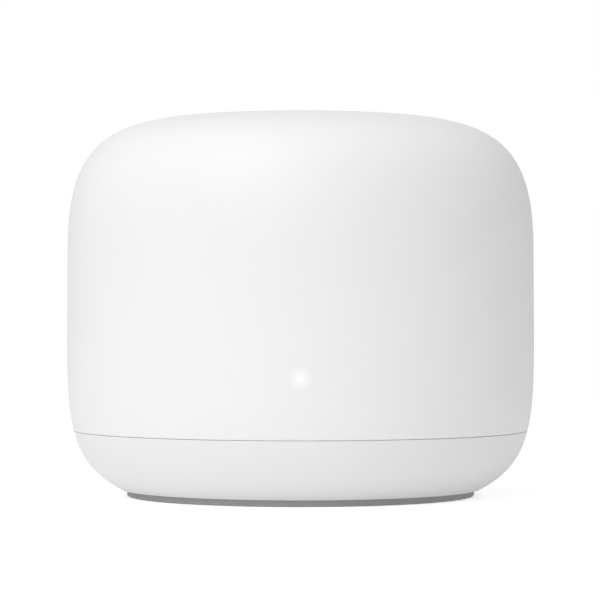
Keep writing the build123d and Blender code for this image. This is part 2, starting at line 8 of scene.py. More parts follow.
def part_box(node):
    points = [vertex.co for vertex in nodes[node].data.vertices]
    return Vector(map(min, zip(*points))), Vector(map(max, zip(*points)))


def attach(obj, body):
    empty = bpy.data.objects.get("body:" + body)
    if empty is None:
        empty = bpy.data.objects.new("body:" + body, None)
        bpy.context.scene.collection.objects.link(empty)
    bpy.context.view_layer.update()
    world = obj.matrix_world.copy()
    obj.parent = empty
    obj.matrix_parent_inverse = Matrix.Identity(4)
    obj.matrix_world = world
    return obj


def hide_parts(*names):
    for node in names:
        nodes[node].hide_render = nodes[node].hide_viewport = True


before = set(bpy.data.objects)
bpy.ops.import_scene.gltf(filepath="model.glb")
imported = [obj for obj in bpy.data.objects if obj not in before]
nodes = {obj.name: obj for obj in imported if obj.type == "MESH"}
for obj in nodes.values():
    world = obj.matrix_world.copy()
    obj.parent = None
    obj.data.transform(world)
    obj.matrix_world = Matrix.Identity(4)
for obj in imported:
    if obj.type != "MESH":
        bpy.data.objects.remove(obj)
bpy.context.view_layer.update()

# ---- Camera ----
# A long lens a good step back, level with the middle of the housing and a hair above it,
# so that the round sides stay upright and the seam and the foot show as shallow curves.
camera_data = bpy.data.cameras.new("camera")
camera_data.lens = 202.9
camera_data.sensor_width = 36.0
camera_data.clip_start = 0.01
camera = bpy.data.objects.new("camera", camera_data)
camera.location = (-0.00014, -0.8, 0.0533)
camera.rotation_euler = (radians(90 - 0.51), 0, 0)
bpy.context.scene.collection.objects.link(camera)
bpy.context.scene.camera = camera

# ---- Table and light ----
# A pale light table that fades into the white of the room and is clear from below, brighter where the router
# hides it. Soft boxes stand on the front left, low and high, with weaker ones overhead and behind.
bpy.context.scene.view_settings.view_transform = "Standard"
table_radius = 1.0
table_z = -0.00002
fade_start = 0.22
fade_end = 0.6
table_glow = 0.12
table_wash = 0.3
under_glow = 0.2
under_start = 0.034
under_end = 0.056
room_light = 0.59


def empty_tree(owner, output="Material"):
    """The node tree of a material or a world with nothing in it but its output."""
    owner.use_nodes = True
    tree = owner.node_tree
    tree.nodes.clear()
    return tree, tree.nodes.new(f"ShaderNodeOutput{output}")


def feed(socket, value):
    """Links the socket to another node's output, or gives it a plain value."""
    if isinstance(value, bpy.types.NodeSocket):
        value.id_data.links.new(value, socket)
    else:
        socket.default_value = value


def new_node(tree, kind, settings):
    """A new node with the named inputs fed."""
    node = tree.nodes.new(f"ShaderNode{kind}")
    for name, value in settings.items():
        feed(node.inputs[name], value)
    return node


def math_node(operation, first, second, third=0.0):
    """A Math node's result. The first input is another node's output."""
    node = new_node(first.id_data, "Math", {})
    node.operation = operation
    for socket, value in zip(node.inputs, (first, second, third)):
        feed(socket, value)
    return node.outputs[0]


def between(value, low, high, start=0.0, end=1.0):
    """The value's stretch from start to end spread over low to high."""
    ends = {"From Min": start, "From Max": end, "To Min": low, "To Max": high}
    return new_node(value.id_data, "MapRange", {"Value": value, **ends}).outputs["Result"]


def length_of(vector):
    node = new_node(vector.id_data, "VectorMath", {})
    node.operation = "LENGTH"
    feed(node.inputs[0], vector)
    return node.outputs["Value"]


def mixed(share, first, second):
    """One shader turning into another by the share."""
    node = new_node(share.id_data, "MixShader", {})
    for socket, value in zip(node.inputs, (share, first, second)):
        feed(socket, value)
    return node.outputs[0]


bm = bmesh.new()
bmesh.ops.create_circle(bm, cap_ends=True, segments=96, radius=table_radius)
bmesh.ops.translate(bm, verts=bm.verts, vec=(0, 0, table_z))
table_data = bpy.data.meshes.new("table_top")
bm.to_mesh(table_data)
bm.free()
table = bpy.data.objects.new("table_top", table_data)
bpy.context.scene.collection.objects.link(table)
table_material = bpy.data.materials.new("pale_light_table")
tree, out = empty_tree(table_material)
pale = new_node(tree, "BsdfPrincipled", {
    "Base Color": (0.9, 0.9, 0.9, 1), "Emission Color": (1, 1, 1, 1), "Roughness": 0.7,
    "Specular IOR Level": 0.2,
})
reach = length_of(new_node(tree, "TexCoord", {}).outputs["Object"])
seen = new_node(tree, "LightPath", {}).outputs["Is Camera Ray"]
glow = math_node("MULTIPLY_ADD", seen, table_wash, table_glow)
hidden = between(reach, under_glow, 0, under_start, under_end)
feed(pale.inputs["Emission Strength"], math_node("ADD", glow, hidden))
faded = between(reach, 0, 1, fade_start, fade_end)
below = new_node(tree, "NewGeometry", {}).outputs["Backfacing"]
clear = new_node(tree, "BsdfTransparent", {})
feed(out.inputs[0], mixed(math_node("MAXIMUM", faded, below), pale.outputs[0], clear.outputs[0]))
table_data.materials.append(table_material)

world = bpy.data.worlds.new("white_room")
bpy.context.scene.world = world
tree, out = empty_tree(world, "World")
room = new_node(tree, "Background", {"Color": (1, 1, 1, 1), "Strength": room_light})
backdrop = new_node(tree, "Background", {"Color": (1, 1, 1, 1)})
seen = new_node(tree, "LightPath", {}).outputs["Is Camera Ray"]
feed(out.inputs[0], mixed(seen, room.outputs[0], backdrop.outputs[0]))


def soft_light(name, azimuth, elevation, distance, size, power):
    """A square soft box aimed at the middle of the housing. Its azimuth goes from the front to the right."""
    data = bpy.data.lights.new(name, "AREA")
    data.shape = "SQUARE"
    data.size = size
    data.energy = power
    light = bpy.data.objects.new(name, data)
    aim = Vector((0, 0, 0.05))
    side, rise = radians(azimuth), radians(elevation)
    light.location = aim + distance * Vector((sin(side) * cos(rise), -cos(side) * cos(rise), sin(rise)))
    light.rotation_euler = (aim - light.location).to_track_quat("-Z", "Y").to_euler()
    bpy.context.scene.collection.objects.link(light)


soft_light("key", azimuth=-27, elevation=30, distance=1.2, size=0.7, power=3.9)
soft_light("high_key", azimuth=-35, elevation=60, distance=1.2, size=0.7, power=3.1)
soft_light("overhead", azimuth=0, elevation=88, distance=1.3, size=1.2, power=2.5)
soft_light("back_left", azimuth=-110, elevation=25, distance=1.2, size=0.7, power=0.8)

# ---- Base shell ----
# The shallow bowl under the seam, injection moulded in matte white. Its floor has a ring of cooling slots,
# a groove for the foot, a label recess and the reset hole, and its screw bosses reach the circuit board.
MM = 0.001
top_low, top_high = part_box("top_shell")
base_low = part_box("base_shell")[0]
board_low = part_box("main_board")[0]
height = top_high.z
side_radius = 55 * MM
crown_height = 32.5 * MM
crown_side_pull = 0.96
crown_top_pull = 0.75
bowl_side_pull = 0.67
bowl_end_pull = 16.6 * MM
bowl_slope = radians(27.2)
underside_radius = 42.35 * MM
underside_z = base_low.z
wall = 2.2 * MM
fit_gap = 0.25 * MM
seam_gap = 0.12 * MM
seam_z = top_low.z - seam_gap / 2
seam_edge = 0.1 * MM
turn_steps = 192
floor_top = underside_z + wall * cos(bowl_slope)


def outline(inset=0.0, crown_points=44, bowl_points=36):
    """The housing's outline as points in the XZ plane, from the top's centre to the underside's centre."""
    radius, top = side_radius - inset, height - inset
    widest_z = height - crown_height
    low = Vector((underside_radius - inset * sin(bowl_slope), 0, underside_z + inset * cos(bowl_slope)))
    widest = Vector((radius, 0, widest_z))
    crown = interpolate_bezier(
        Vector((0, 0, top)),
        Vector((crown_top_pull * radius, 0, top)),
        Vector((radius, 0, widest_z + crown_side_pull * (top - widest_z))),
        widest,
        crown_points,
    )
    bowl = interpolate_bezier(
        widest,
        Vector((radius, 0, widest_z - bowl_side_pull * (widest_z - low.z))),
        low + bowl_end_pull * Vector((cos(bowl_slope), 0, sin(bowl_slope))),
        low,
        bowl_points,
    )
    return crown + bowl[1:] + [Vector((0, 0, low.z))]


def skin_radius(inset, z):
    """Radius of the outline at a height below the crown's middle."""
    points = outline(inset)[:-1]
    above, below = next(pair for pair in zip(points[10:], points[11:]) if pair[0].z >= z >= pair[1].z)
    return above.lerp(below, (above.z - z) / (above.z - below.z)).x


def new_verts(made):
    """The vertices among what an operator made."""
    return [item for item in made["geom"] if isinstance(item, bmesh.types.BMVert)]


def turned_skin(points):
    """A bmesh turned about Z from points in the XZ plane."""
    bm = bmesh.new()
    verts = [bm.verts.new(point) for point in points]
    edges = [bm.edges.new(pair) for pair in zip(verts, verts[1:])]
    spin_about_z(bm, verts + edges, turn_steps)
    return bm


def spin_about_z(bm, geom, steps):
    """A full turn of the geometry, closed, with its faces pointing outwards."""
    bmesh.ops.spin(
        bm, geom=geom, cent=(0, 0, 0), axis=(0, 0, 1), angle=2 * pi, steps=steps, use_merge=True,
        use_duplicate=False,
    )
    bmesh.ops.remove_doubles(bm, verts=bm.verts, dist=1e-6)
    bmesh.ops.recalc_face_normals(bm, faces=bm.faces)


def turn(bm, verts, angle, axis):
    """Turns the vertices about an axis through the origin."""
    bmesh.ops.rotate(bm, verts=verts, cent=(0, 0, 0), matrix=Matrix.Rotation(angle, 3, axis))


def panel(bm, width, length, rows=1):
    """A flat sheet about the origin, cut into rows along its length."""
    verts = bmesh.ops.create_grid(bm, x_segments=1, y_segments=rows, size=0.5)["verts"]
    bmesh.ops.scale(bm, verts=verts, vec=(width, length, 1))
    return verts


def cut_level(bm, z, keep_above):
    """Cuts the bmesh at a level and throws one side away."""
    geom = bm.verts[:] + bm.edges[:] + bm.faces[:]
    bmesh.ops.bisect_plane(
        bm, geom=geom, plane_co=(0, 0, z), plane_no=(0, 0, 1), clear_inner=keep_above,
        clear_outer=not keep_above,
    )


def thicken(bm, thickness):
    """Gives every face of a skin its wall, inwards."""
    bmesh.ops.solidify(bm, geom=bm.faces[:], thickness=thickness)
    bmesh.ops.recalc_face_normals(bm, faces=bm.faces)


def round_edges(bm, edges, width, segments=3):
    """Rounds the edges."""
    bmesh.ops.bevel(
        bm, geom=edges, offset=width, offset_type="OFFSET", affect="EDGES", segments=segments, profile=0.5,
        material=-1, clamp_overlap=True,
    )


def round_corners(bm, verts, width, segments):
    """Rounds the corners of a flat outline."""
    return bmesh.ops.bevel(
        bm, geom=verts, offset=width, offset_type="OFFSET", affect="VERTICES", segments=segments,
        profile=0.5, material=-1, clamp_overlap=True,
    )["verts"]


def sharp_edges(bm, degrees=40):
    """The edges where the surface turns by more than the angle."""
    return [e for e in bm.edges if len(e.link_faces) == 2 and e.calc_face_angle(0) > radians(degrees)]


def rim_edges(bm, z, radius):
    """The ring of edges at a level that is wider than the radius."""
    return [
        edge
        for edge in bm.edges
        if all(abs(v.co.z - z) < 1e-6 and hypot(v.co.x, v.co.y) > radius for v in edge.verts)
        and len(edge.link_faces) == 2
    ]


def finished(name, bm, body=None, sharp=35):
    """A smooth-shaded object from the bmesh, riding on a body if one is named."""
    data = bpy.data.meshes.new(name)
    bm.to_mesh(data)
    bm.free()
    data.shade_smooth()
    data.set_sharp_from_angle(angle=radians(sharp))
    piece = bpy.data.objects.new(name, data)
    bpy.context.scene.collection.objects.link(piece)
    if body:
        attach(piece, body)
    return piece


def carve(piece, cutters, operation="DIFFERENCE", sharp=35):
    """Cuts the cutters out of the piece, or joins them to it, and leaves one plain mesh."""
    for cutter in cutters:
        modifier = piece.modifiers.new("carve", "BOOLEAN")
        modifier.operation = operation
        modifier.solver = "EXACT"
        modifier.object = cutter
    shape = piece.evaluated_get(bpy.context.evaluated_depsgraph_get())
    carved = bpy.data.meshes.new_from_object(shape)
    piece.modifiers.clear()
    carved.name = piece.name
    piece.data = carved
    carved.set_sharp_from_angle(angle=radians(sharp))
    for cutter in cutters:
        bpy.data.objects.remove(cutter)


def push(bm, vector):
    """Extrudes every face of a flat bmesh along the vector, into a closed solid."""
    moved = new_verts(bmesh.ops.extrude_face_region(bm, geom=bm.faces[:]))
    bmesh.ops.translate(bm, verts=moved, vec=vector)
    bmesh.ops.recalc_face_normals(bm, faces=bm.faces)
    return moved


def pulled_face(bm, face):
    """Extrudes one face of a closed solid in place and returns its new corners."""
    wide = new_verts(bmesh.ops.extrude_face_region(bm, geom=[face]))
    bmesh.ops.delete(bm, geom=[face], context="FACES_ONLY")
    return wide


def add_block(bm, low, high, edge=0.0):
    """Adds a block between two corners, with rounded edges if a width is given."""
    low, high = Vector(low), Vector(high)
    verts = bmesh.ops.create_cube(bm, size=1)["verts"]
    bmesh.ops.scale(bm, verts=verts, vec=high - low)
    bmesh.ops.translate(bm, verts=verts, vec=(low + high) / 2)
    if edge:
        corners = set(verts)
        round_edges(bm, [e for e in bm.edges if e.verts[0] in corners], edge, segments=2)


def brick(name, low, high, bearing=0.0, edge=0.0):
    """One block between two corners, turned about the housing's axis."""
    bm = bmesh.new()
    add_block(bm, low, high, edge)
    turn(bm, bm.verts, radians(bearing), "Z")
    return finished(name, bm)


def rod(name, radius, low, high, segments=48):
    """A round bar between two points."""
    bm = bmesh.new()
    low, high = Vector(low), Vector(high)
    aim = (high - low).to_track_quat("Z", "Y").to_matrix().to_4x4()
    bmesh.ops.create_cone(
        bm, cap_ends=True, segments=segments, radius1=radius, radius2=radius, depth=(high - low).length,
        matrix=Matrix.Translation((low + high) / 2) @ aim,
    )
    return finished(name, bm)


def turning(name, profile, steps=64, edge=0.0, place=Matrix.Identity(4), segments=3):
    """A turned solid from (radius, height) points. A profile that starts on the axis ends on it."""
    bm = bmesh.new()
    verts = [bm.verts.new((r, 0, z)) for r, z in profile]
    pairs = list(zip(verts, verts[1:]))
    if profile[0][0] > 0:
        pairs.append((verts[-1], verts[0]))
    edges = [bm.edges.new(pair) for pair in pairs]
    spin_about_z(bm, verts + edges, steps)
    if edge:
        round_edges(bm, sharp_edges(bm), edge, segments)
    bm.transform(place)
    return finished(name, bm)


def bar_along_y(name, width, tall, corner, y_low, y_high, x=0.0, z=0.0, segments=10, flare=0.0):
    """A bar along Y with a rounded rectangle for its section. Flare lengthens and widens its far end."""
    bm = bmesh.new()
    panel(bm, width, tall)
    if corner:
        round_corners(bm, bm.verts[:], corner, segments)
    turn(bm, bm.verts, pi / 2, "X")
    bmesh.ops.translate(bm, verts=bm.verts, vec=(0, y_low, 0))
    end = push(bm, (0, y_high - y_low, 0))
    if flare:
        wide = pulled_face(bm, next(f for f in bm.faces if all(v in end for v in f.verts)))
        bmesh.ops.translate(bm, verts=wide, vec=(0, flare, 0))
        bmesh.ops.scale(bm, verts=wide, vec=(1 + 2 * flare / width, 1, 1 + 2 * flare / tall))
        bmesh.ops.recalc_face_normals(bm, faces=bm.faces)
    bmesh.ops.translate(bm, verts=bm.verts, vec=(x, 0, z))
    return finished(name, bm)


def box_bar(name, low, high, corner, grow=0.0, segments=4, flare=0.0):
    """A bar along Y between two corners of a box, grown sideways and upwards."""
    return bar_along_y(
        name, high[0] - low[0] + 2 * grow, high[2] - low[2] + 2 * grow, corner, low[1], high[1],
        x=(low[0] + high[0]) / 2, z=(low[2] + high[2]) / 2, segments=segments, flare=flare,
    )


def slab(inner, outer, low, high):
    """The profile of a plain ring, or of a disc where inner is 0."""
    return [(inner, low), (outer, low), (outer, high), (inner, high)]


def circle_places(radius, angles):
    """Places on a circle about the housing's axis, at angles in degrees."""
    return [(radius * cos(radians(angle)), radius * sin(radians(angle))) for angle in angles]


def new_shader(name, settings):
    """A Principled material with its plain values set, its shader and the object's own coordinates."""
    material = bpy.data.materials.new(name)
    tree, out = empty_tree(material)
    shader = new_node(tree, "BsdfPrincipled", settings)
    feed(out.inputs[0], shader.outputs[0])
    return material, shader, new_node(tree, "TexCoord", {}).outputs["Object"]


def mapped(place, move=(0, 0, 0), stretch=(1, 1, 1)):
    """The coordinates moved or stretched."""
    settings = {"Vector": place, "Location": move, "Scale": stretch}
    return new_node(place.id_data, "Mapping", settings).outputs["Vector"]


def noise(place, size, detail=2.0):
    """Noise with features of about the given size."""
    settings = {"Vector": place, "Scale": 1 / size, "Detail": detail}
    return new_node(place.id_data, "TexNoise", settings).outputs["Fac"]


def blended(value, first, second):
    """A colour between two colours, or between two outputs."""
    mixer = new_node(value.id_data, "Mix", {})
    mixer.data_type = "RGBA"
    feed(mixer.inputs["Factor"], value)
    for socket, colour in (("A", first), ("B", second)):
        feed(mixer.inputs[socket], (*colour, 1) if isinstance(colour, (tuple, list)) else colour)
    return mixer.outputs["Result"]


def coloured(shader, value, first, second):
    feed(shader.inputs["Base Color"], blended(value, first, second))


def raised(shader, value, depth, strength=0.6):
    """Relief of the given depth from the value."""
    bump = new_node(shader.id_data, "Bump", {"Strength": strength, "Distance": depth, "Height": value})
    feed(shader.inputs["Normal"], bump.outputs["Normal"])


def grained(shader, value, low, high, depth, strength=0.6):
    """Roughness between two numbers and relief of the given depth, both from the value."""
    feed(shader.inputs["Roughness"], between(value, low, high))
    raised(shader, value, depth, strength)


def shade(colour, share):
    """The colour made darker or lighter by a share of itself."""
    return [min(1, c * (1 + share)) for c in colour]


def distance(place, centre, along=(1, 1, 1)):
    """The distance from a point, measured only along the axes that are given as 1."""
    return length_of(mapped(place, [-c * a for c, a in zip(centre, along)], along))


def moulded_plastic(name, colour, roughness, grain=0.35 * MM, relief=0.04 * MM, mottle=0.012, settings=None):
    """Injection-moulded plastic: a fine eroded grain, faint unevenness of colour and of gloss."""
    material, plastic, place = new_shader(name, {"Specular IOR Level": 0.45, **(settings or {})})
    coloured(plastic, noise(place, 22 * MM, 3), shade(colour, -mottle), shade(colour, mottle))
    grained(plastic, noise(place, grain), roughness - 0.06, roughness + 0.06, relief)
    return material, plastic, place


def dress(piece, material, node=None, body="housing"):
    """Gives a new piece its material and its body, and hides the CAD node it stands for."""
    piece.data.materials.clear()
    piece.data.materials.append(material)
    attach(piece, body)
    if node:
        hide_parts(node)


def dress_node(material, *names):
    """Gives CAD nodes that keep their shape a material."""
    for name in names:
        for slot in nodes[name].material_slots:
            slot.material = material


foot_low, foot_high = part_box("foot_ring")
label_low, label_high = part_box("rating_label")
button_low, button_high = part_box("reset_button")
bezel_low, bezel_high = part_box("port_bezel")
bezel_wall = 1.4 * MM
port_gap = 0.25 * MM
bay_corner = 5 * MM
bay_width = bezel_high.x - bezel_low.x - 2 * bezel_wall
bay_height = bezel_high.z - bezel_low.z - 2 * bezel_wall
bay_z = (bezel_low.z + bezel_high.z) / 2
past_skin = 60 * MM
foot_width = 8 * MM
foot_outer = foot_high.x
vent_count = 24
vent_inner = 13.5 * MM
vent_outer = 20.5 * MM
vent_width = 1.8 * MM
vent_edge = 0.3 * MM
label_recess = 0.1 * MM
boss_angles = (25, 155, 215, 325)
boss_circle = 40 * MM
boss_radius = 3.5 * MM
boss_bore = 1.3 * MM
boss_bore_depth = 9 * MM
button_gap = 0.15 * MM
button_radius = 2.4 * MM
guide_wall = 1.4 * MM
guide_top = floor_top + 7 * MM
button_place = ((button_low.x + button_high.x) / 2, (button_low.y + button_high.y) / 2)
snap_angles = (-135, -90, -45, 0, 45, 135, 180)
snap_width = 9 * MM
snap_height = 1.4 * MM
snap_reach = 0.9 * MM
snap_z = seam_z + seam_gap / 2 + 1.2 * MM + snap_height / 2


def bay_bar(name, grow, y_low, y_high):
    """The port bay's clear section, grown on every side, as a bar along Y."""
    return bar_along_y(
        name, bay_width + 2 * grow, bay_height + 2 * grow, bay_corner + grow, y_low, y_high, z=bay_z
    )


def snap_block(bearing, grow=0.0):
    """One snap tooth of the top shell, or with grow its window in the tongue."""
    face = skin_radius(wall + fit_gap, snap_z)
    low = (face - snap_reach - 3 * grow, -snap_width / 2 - grow, snap_z - snap_height / 2 - grow)
    high = (skin_radius(wall / 2, snap_z), snap_width / 2 + grow, snap_z + snap_height / 2 + grow)
    return brick("snap", low, high, bearing)


def vents():
    """The ring of slots with round ends, slightly flared where they open under the floor, as one cutter."""
    bm = bmesh.new()
    length = vent_outer - vent_inner + vent_width
    for n in range(vent_count):
        made = round_corners(bm, panel(bm, length, vent_width), vent_width * 0.49, 6)
        bmesh.ops.translate(bm, verts=made, vec=((vent_inner + vent_outer) / 2, 0, floor_top + MM))
        turn(bm, made, 2 * pi * n / vent_count, "Z")
    push(bm, (0, 0, underside_z + vent_edge - floor_top - MM))
    lowest = [f for f in bm.faces if f.calc_center_median().z < underside_z + vent_edge + 1e-6]
    for slot in lowest:
        middle = slot.calc_center_median()
        for vert in pulled_face(bm, slot):
            outwards = (vert.co - middle).normalized()
            vert.co += 2 * vent_edge * outwards - Vector((0, 0, 2 * vent_edge))
    bmesh.ops.recalc_face_normals(bm, faces=bm.faces)
    return finished("vents", bm)


bm = turned_skin(outline())
cut_level(bm, seam_z - seam_gap / 2, keep_above=False)
thicken(bm, wall)
round_edges(bm, rim_edges(bm, seam_z - seam_gap / 2, side_radius - wall - MM), seam_edge)
base_shell = finished("base_shell_bowl", bm)
root = underside_z + wall / 2
bosses = circle_places(boss_circle, boss_angles)
posts = [rod("boss", boss_radius, (*place, root), (*place, board_low.z)) for place in bosses]
guide_radius = button_radius + button_gap + guide_wall
posts.append(rod("guide", guide_radius, (*button_place, root), (*button_place, guide_top)))
carve(base_shell, posts, "UNION")
groove = foot_outer + fit_gap / 2
below = -MM
cutters = [
    bay_bar("bay", bezel_wall + port_gap, bezel_low.y - port_gap, past_skin),
    turning("groove", slab(groove - foot_width - fit_gap, groove, below, foot_high.z), steps=turn_steps),
    turning("label_seat", slab(0, label_high.x + fit_gap, below, underside_z + label_recess), steps=96),
    rod("button_hole", button_radius + button_gap, (*button_place, below), (*button_place, guide_top + MM)),
    vents(),
]
bore_low, bore_high = board_low.z - boss_bore_depth, board_low.z + MM
for place in bosses:
    cutters.append(rod("bore", boss_bore, (*place, bore_low), (*place, bore_high)))
carve(base_shell, cutters)


def mouth_edges(bm):
    """Returns the edges where the port bay cuts the outer skin."""
    mouth = []
    for edge in sharp_edges(bm, 50):
        middle = (edge.verts[0].co + edge.verts[1].co) / 2
        outwards = Vector((middle.x, middle.y, 0)).normalized()
        normals = sorted((face.normal for face in edge.link_faces), key=lambda n: n.dot(outwards))
        on_skin = normals[1].dot(outwards) > 0.5 and normals[0].dot(outwards) < 0.5
        at_seam = all(abs(vert.co.z - seam_z) < 0.3 * MM for vert in edge.verts)
        if middle.y > 30 * MM and on_skin and not at_seam and abs(normals[0].y) < 0.3:
            mouth.append(edge)
    return mouth


def round_mouth(piece, width):
    """Rounds the edge where the port bay cuts the outer skin."""
    bm = bmesh.new()
    bm.from_mesh(piece.data)
    bmesh.ops.remove_doubles(bm, verts=bm.verts, dist=2e-6)
    verts = {vert for edge in mouth_edges(bm) for vert in edge.verts}
    bmesh.ops.remove_doubles(bm, verts=list(verts), dist=1.2 * width)
    bm.normal_update()
    round_edges(bm, mouth_edges(bm), width)
    bmesh.ops.dissolve_degenerate(bm, edges=bm.edges[:], dist=2e-6)
    bm.to_mesh(piece.data)
    bm.free()
    piece.data.shade_smooth()
    piece.data.set_sharp_from_angle(angle=radians(35))


mouth_edge = 0.2 * MM
level = 0.9999  # upright share of a level face's normal
round_mouth(base_shell, mouth_edge)
for face in base_shell.data.polygons:
    face.use_smooth = abs(face.normal.z) < level
base_material, _, _ = moulded_plastic("matte_white_base", (0.765, 0.765, 0.765), 0.45)
dress(base_shell, base_material, "base_shell")

# the tongue that stands up inside the top shell and closes the seam from behind
tongue_wall = 1.4 * MM
tongue_rise = 4 * MM
tongue_root = 3 * MM
bm = turned_skin(outline(wall + fit_gap))
cut_level(bm, seam_z - tongue_root, keep_above=True)
cut_level(bm, seam_z + tongue_rise, keep_above=False)
thicken(bm, tongue_wall)
tongue = finished("base_shell_tongue", bm)
windows = [snap_block(angle, fit_gap) for angle in snap_angles]
carve(tongue, windows + [bay_bar("bay", bezel_wall + port_gap, bezel_low.y - port_gap, past_skin)])
dress(tongue, base_material)

# ---- Foot ----
# A soft grey silicone ring with rounded lower edges, glued into the groove of the base.
foot_edge = 0.4 * MM
foot_inner = foot_outer - foot_width
foot_profile = slab(foot_inner, foot_outer, foot_low.z, foot_high.z)
foot = turning("foot_ring_rubber", foot_profile, steps=turn_steps, edge=foot_edge, segments=4)
foot_material, _, _ = moulded_plastic(
    "grey_silicone", (0.36, 0.36, 0.365), 0.7, grain=0.5 * MM, relief=0.06 * MM, mottle=0.04
)
dress(foot, foot_material, "foot_ring")

# ---- Rating label ----
# A round satin film stuck in its recess under the base. It carries nothing but a thin printed ring.
film = label_high.z - label_low.z
film_profile = slab(0, label_high.x, label_low.z, label_high.z)
label = turning("rating_label_film", film_profile, steps=96, edge=film / 3, segments=2)
label_material, satin, place = new_shader("satin_film", {"Coat Weight": 0.25, "Coat Roughness": 0.3})
on_ring = math_node("COMPARE", distance(place, (0, 0, 0), (1, 1, 0)), label_high.x - 0.9 * MM, 0.09 * MM)
fibres = noise(mapped(place, stretch=(1, 4, 1)), 0.4 * MM, 4)
paper = blended(fibres, (0.66, 0.66, 0.655), (0.72, 0.72, 0.715))
coloured(satin, on_ring, paper, (0.30, 0.31, 0.32))
grained(satin, fibres, 0.32, 0.46, 0.01 * MM)
dress(label, label_material, "rating_label")

# ---- Port bay ----
# A moulded tub that lines the bay and stops just short of the housing's skin. Its panel has flared holes for
# the two sockets and the inlet, and a small printed pictogram above each.
panel_y = bezel_low.y + 1.6 * MM
hole_flare = 0.2 * MM
inlet_hole = 4.45 * MM
pin_low, pin_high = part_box("power_inlet_pin")
inlet_x, inlet_z = (pin_low.x + pin_high.x) / 2, (pin_low.z + pin_high.z) / 2
shields = {port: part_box(f"{port}_socket_shield") for port in ("wan", "lan")}
bezel = bay_bar("port_bezel_tub", bezel_wall, bezel_low.y, past_skin)
inside = finished("inside", turned_skin(outline(0.35 * MM)))
carve(bezel, [inside], "INTERSECT")
cutters = [bay_bar("bay", 0, panel_y, past_skin + MM)]
for low, high in shields.values():
    low, high = (low.x, bezel_low.y - MM, low.z), (high.x, panel_y - hole_flare, high.z)
    cutters.append(box_bar("hole", low, high, 0.5 * MM, grow=port_gap, flare=2 * hole_flare))
lying = Matrix.Rotation(-pi / 2, 4, "X")
at_inlet = Matrix.Translation((inlet_x, 0, inlet_z)) @ lying
cutters.append(turning("hole", [
    (0, bezel_low.y - MM),
    (inlet_hole, bezel_low.y - MM),
    (inlet_hole, panel_y - hole_flare),
    (inlet_hole + 2 * hole_flare, panel_y + hole_flare),
    (0, panel_y + hole_flare),
], place=at_inlet))
carve(bezel, cutters)
bezel_material, _, _ = moulded_plastic("matte_white_bezel", (0.74, 0.74, 0.74), 0.5)
dress(bezel, bezel_material, "port_bezel")

mark_z = (shields["wan"][1].z + bezel_high.z - bezel_wall) / 2
mark_stroke = 0.2 * MM
mark_height = 2.2 * MM
mark_relief = 0.05 * MM


def stroke(bm, start, end, width=mark_stroke):
    """A short straight mark between two (x, z) points."""
    start, end = Vector(start), Vector(end)
    made = panel(bm, (end - start).length + width, width)
    turn(bm, made, -Vector((1, 0)).angle_signed(end - start), "Z")
    middle = (start + end) / 2
    bmesh.ops.translate(bm, verts=made, vec=(middle.x, middle.y, 0))


def hoop(bm, x, wide, tall, width=mark_stroke):
    """A thin oval mark about (x, 0)."""
    made = bmesh.ops.create_circle(bm, segments=40, radius=0.5)["verts"]
    loop = list({edge for vert in made for edge in vert.link_edges})
    inner = new_verts(bmesh.ops.extrude_edge_only(bm, edges=loop))
    bmesh.ops.scale(bm, verts=made, vec=(wide + width, tall + width, 1))
    bmesh.ops.scale(bm, verts=inner, vec=(wide - width, tall - width, 1))
    bmesh.ops.translate(bm, verts=made + inner, vec=(x, 0, 0))


def pictogram(name, x, draw):
    """Printed marks drawn flat about the middle, set upright on the panel above a port."""
    bm = bmesh.new()
    draw(bm)
    turn(bm, bm.verts, pi / 2, "X")
    turn(bm, bm.verts, pi, "Z")
    bmesh.ops.translate(bm, verts=bm.verts, vec=(x, panel_y - mark_relief, mark_z))
    push(bm, (0, 2 * mark_relief, 0))
    dress(finished(name, bm), ink_material)


def globe(bm):
    half = mark_height / 2
    hoop(bm, 0, mark_height, mark_height)
    hoop(bm, 0, 0.45 * mark_height, mark_height)
    stroke(bm, (-half, 0), (half, 0))


def linked_boxes(bm):
    half, side = mark_height / 2, 0.32 * mark_height
    for x, z in ((0, half - side / 2), (-1.1 * half, side / 2 - half), (1.1 * half, side / 2 - half)):
        for off in (-side / 2, side / 2):
            stroke(bm, (x - side / 2, z + off), (x + side / 2, z + off))
            stroke(bm, (x + off, z - side / 2), (x + off, z + side / 2))
    stroke(bm, (0, half - side), (0, 0))
    stroke(bm, (-1.1 * half, 0), (1.1 * half, 0))
    for x in (-1.1 * half, 1.1 * half):
        stroke(bm, (x, 0), (x, side - half))


def direct_current(bm):
    half = mark_height / 2
    stroke(bm, (-half, 0.3 * half), (half, 0.3 * half))
    for x in (-0.8, 0, 0.8):
        stroke(bm, (x * half - 0.2 * half, -0.3 * half), (x * half + 0.2 * half, -0.3 * half))


ink_material, _, _ = moulded_plastic("grey_print", (0.22, 0.22, 0.23), 0.6, mottle=0.05)
pictogram("mark_wan", (shields["wan"][0].x + shields["wan"][1].x) / 2, globe)
pictogram("mark_lan", (shields["lan"][0].x + shields["lan"][1].x) / 2, linked_boxes)
pictogram("mark_power", inlet_x, direct_current)

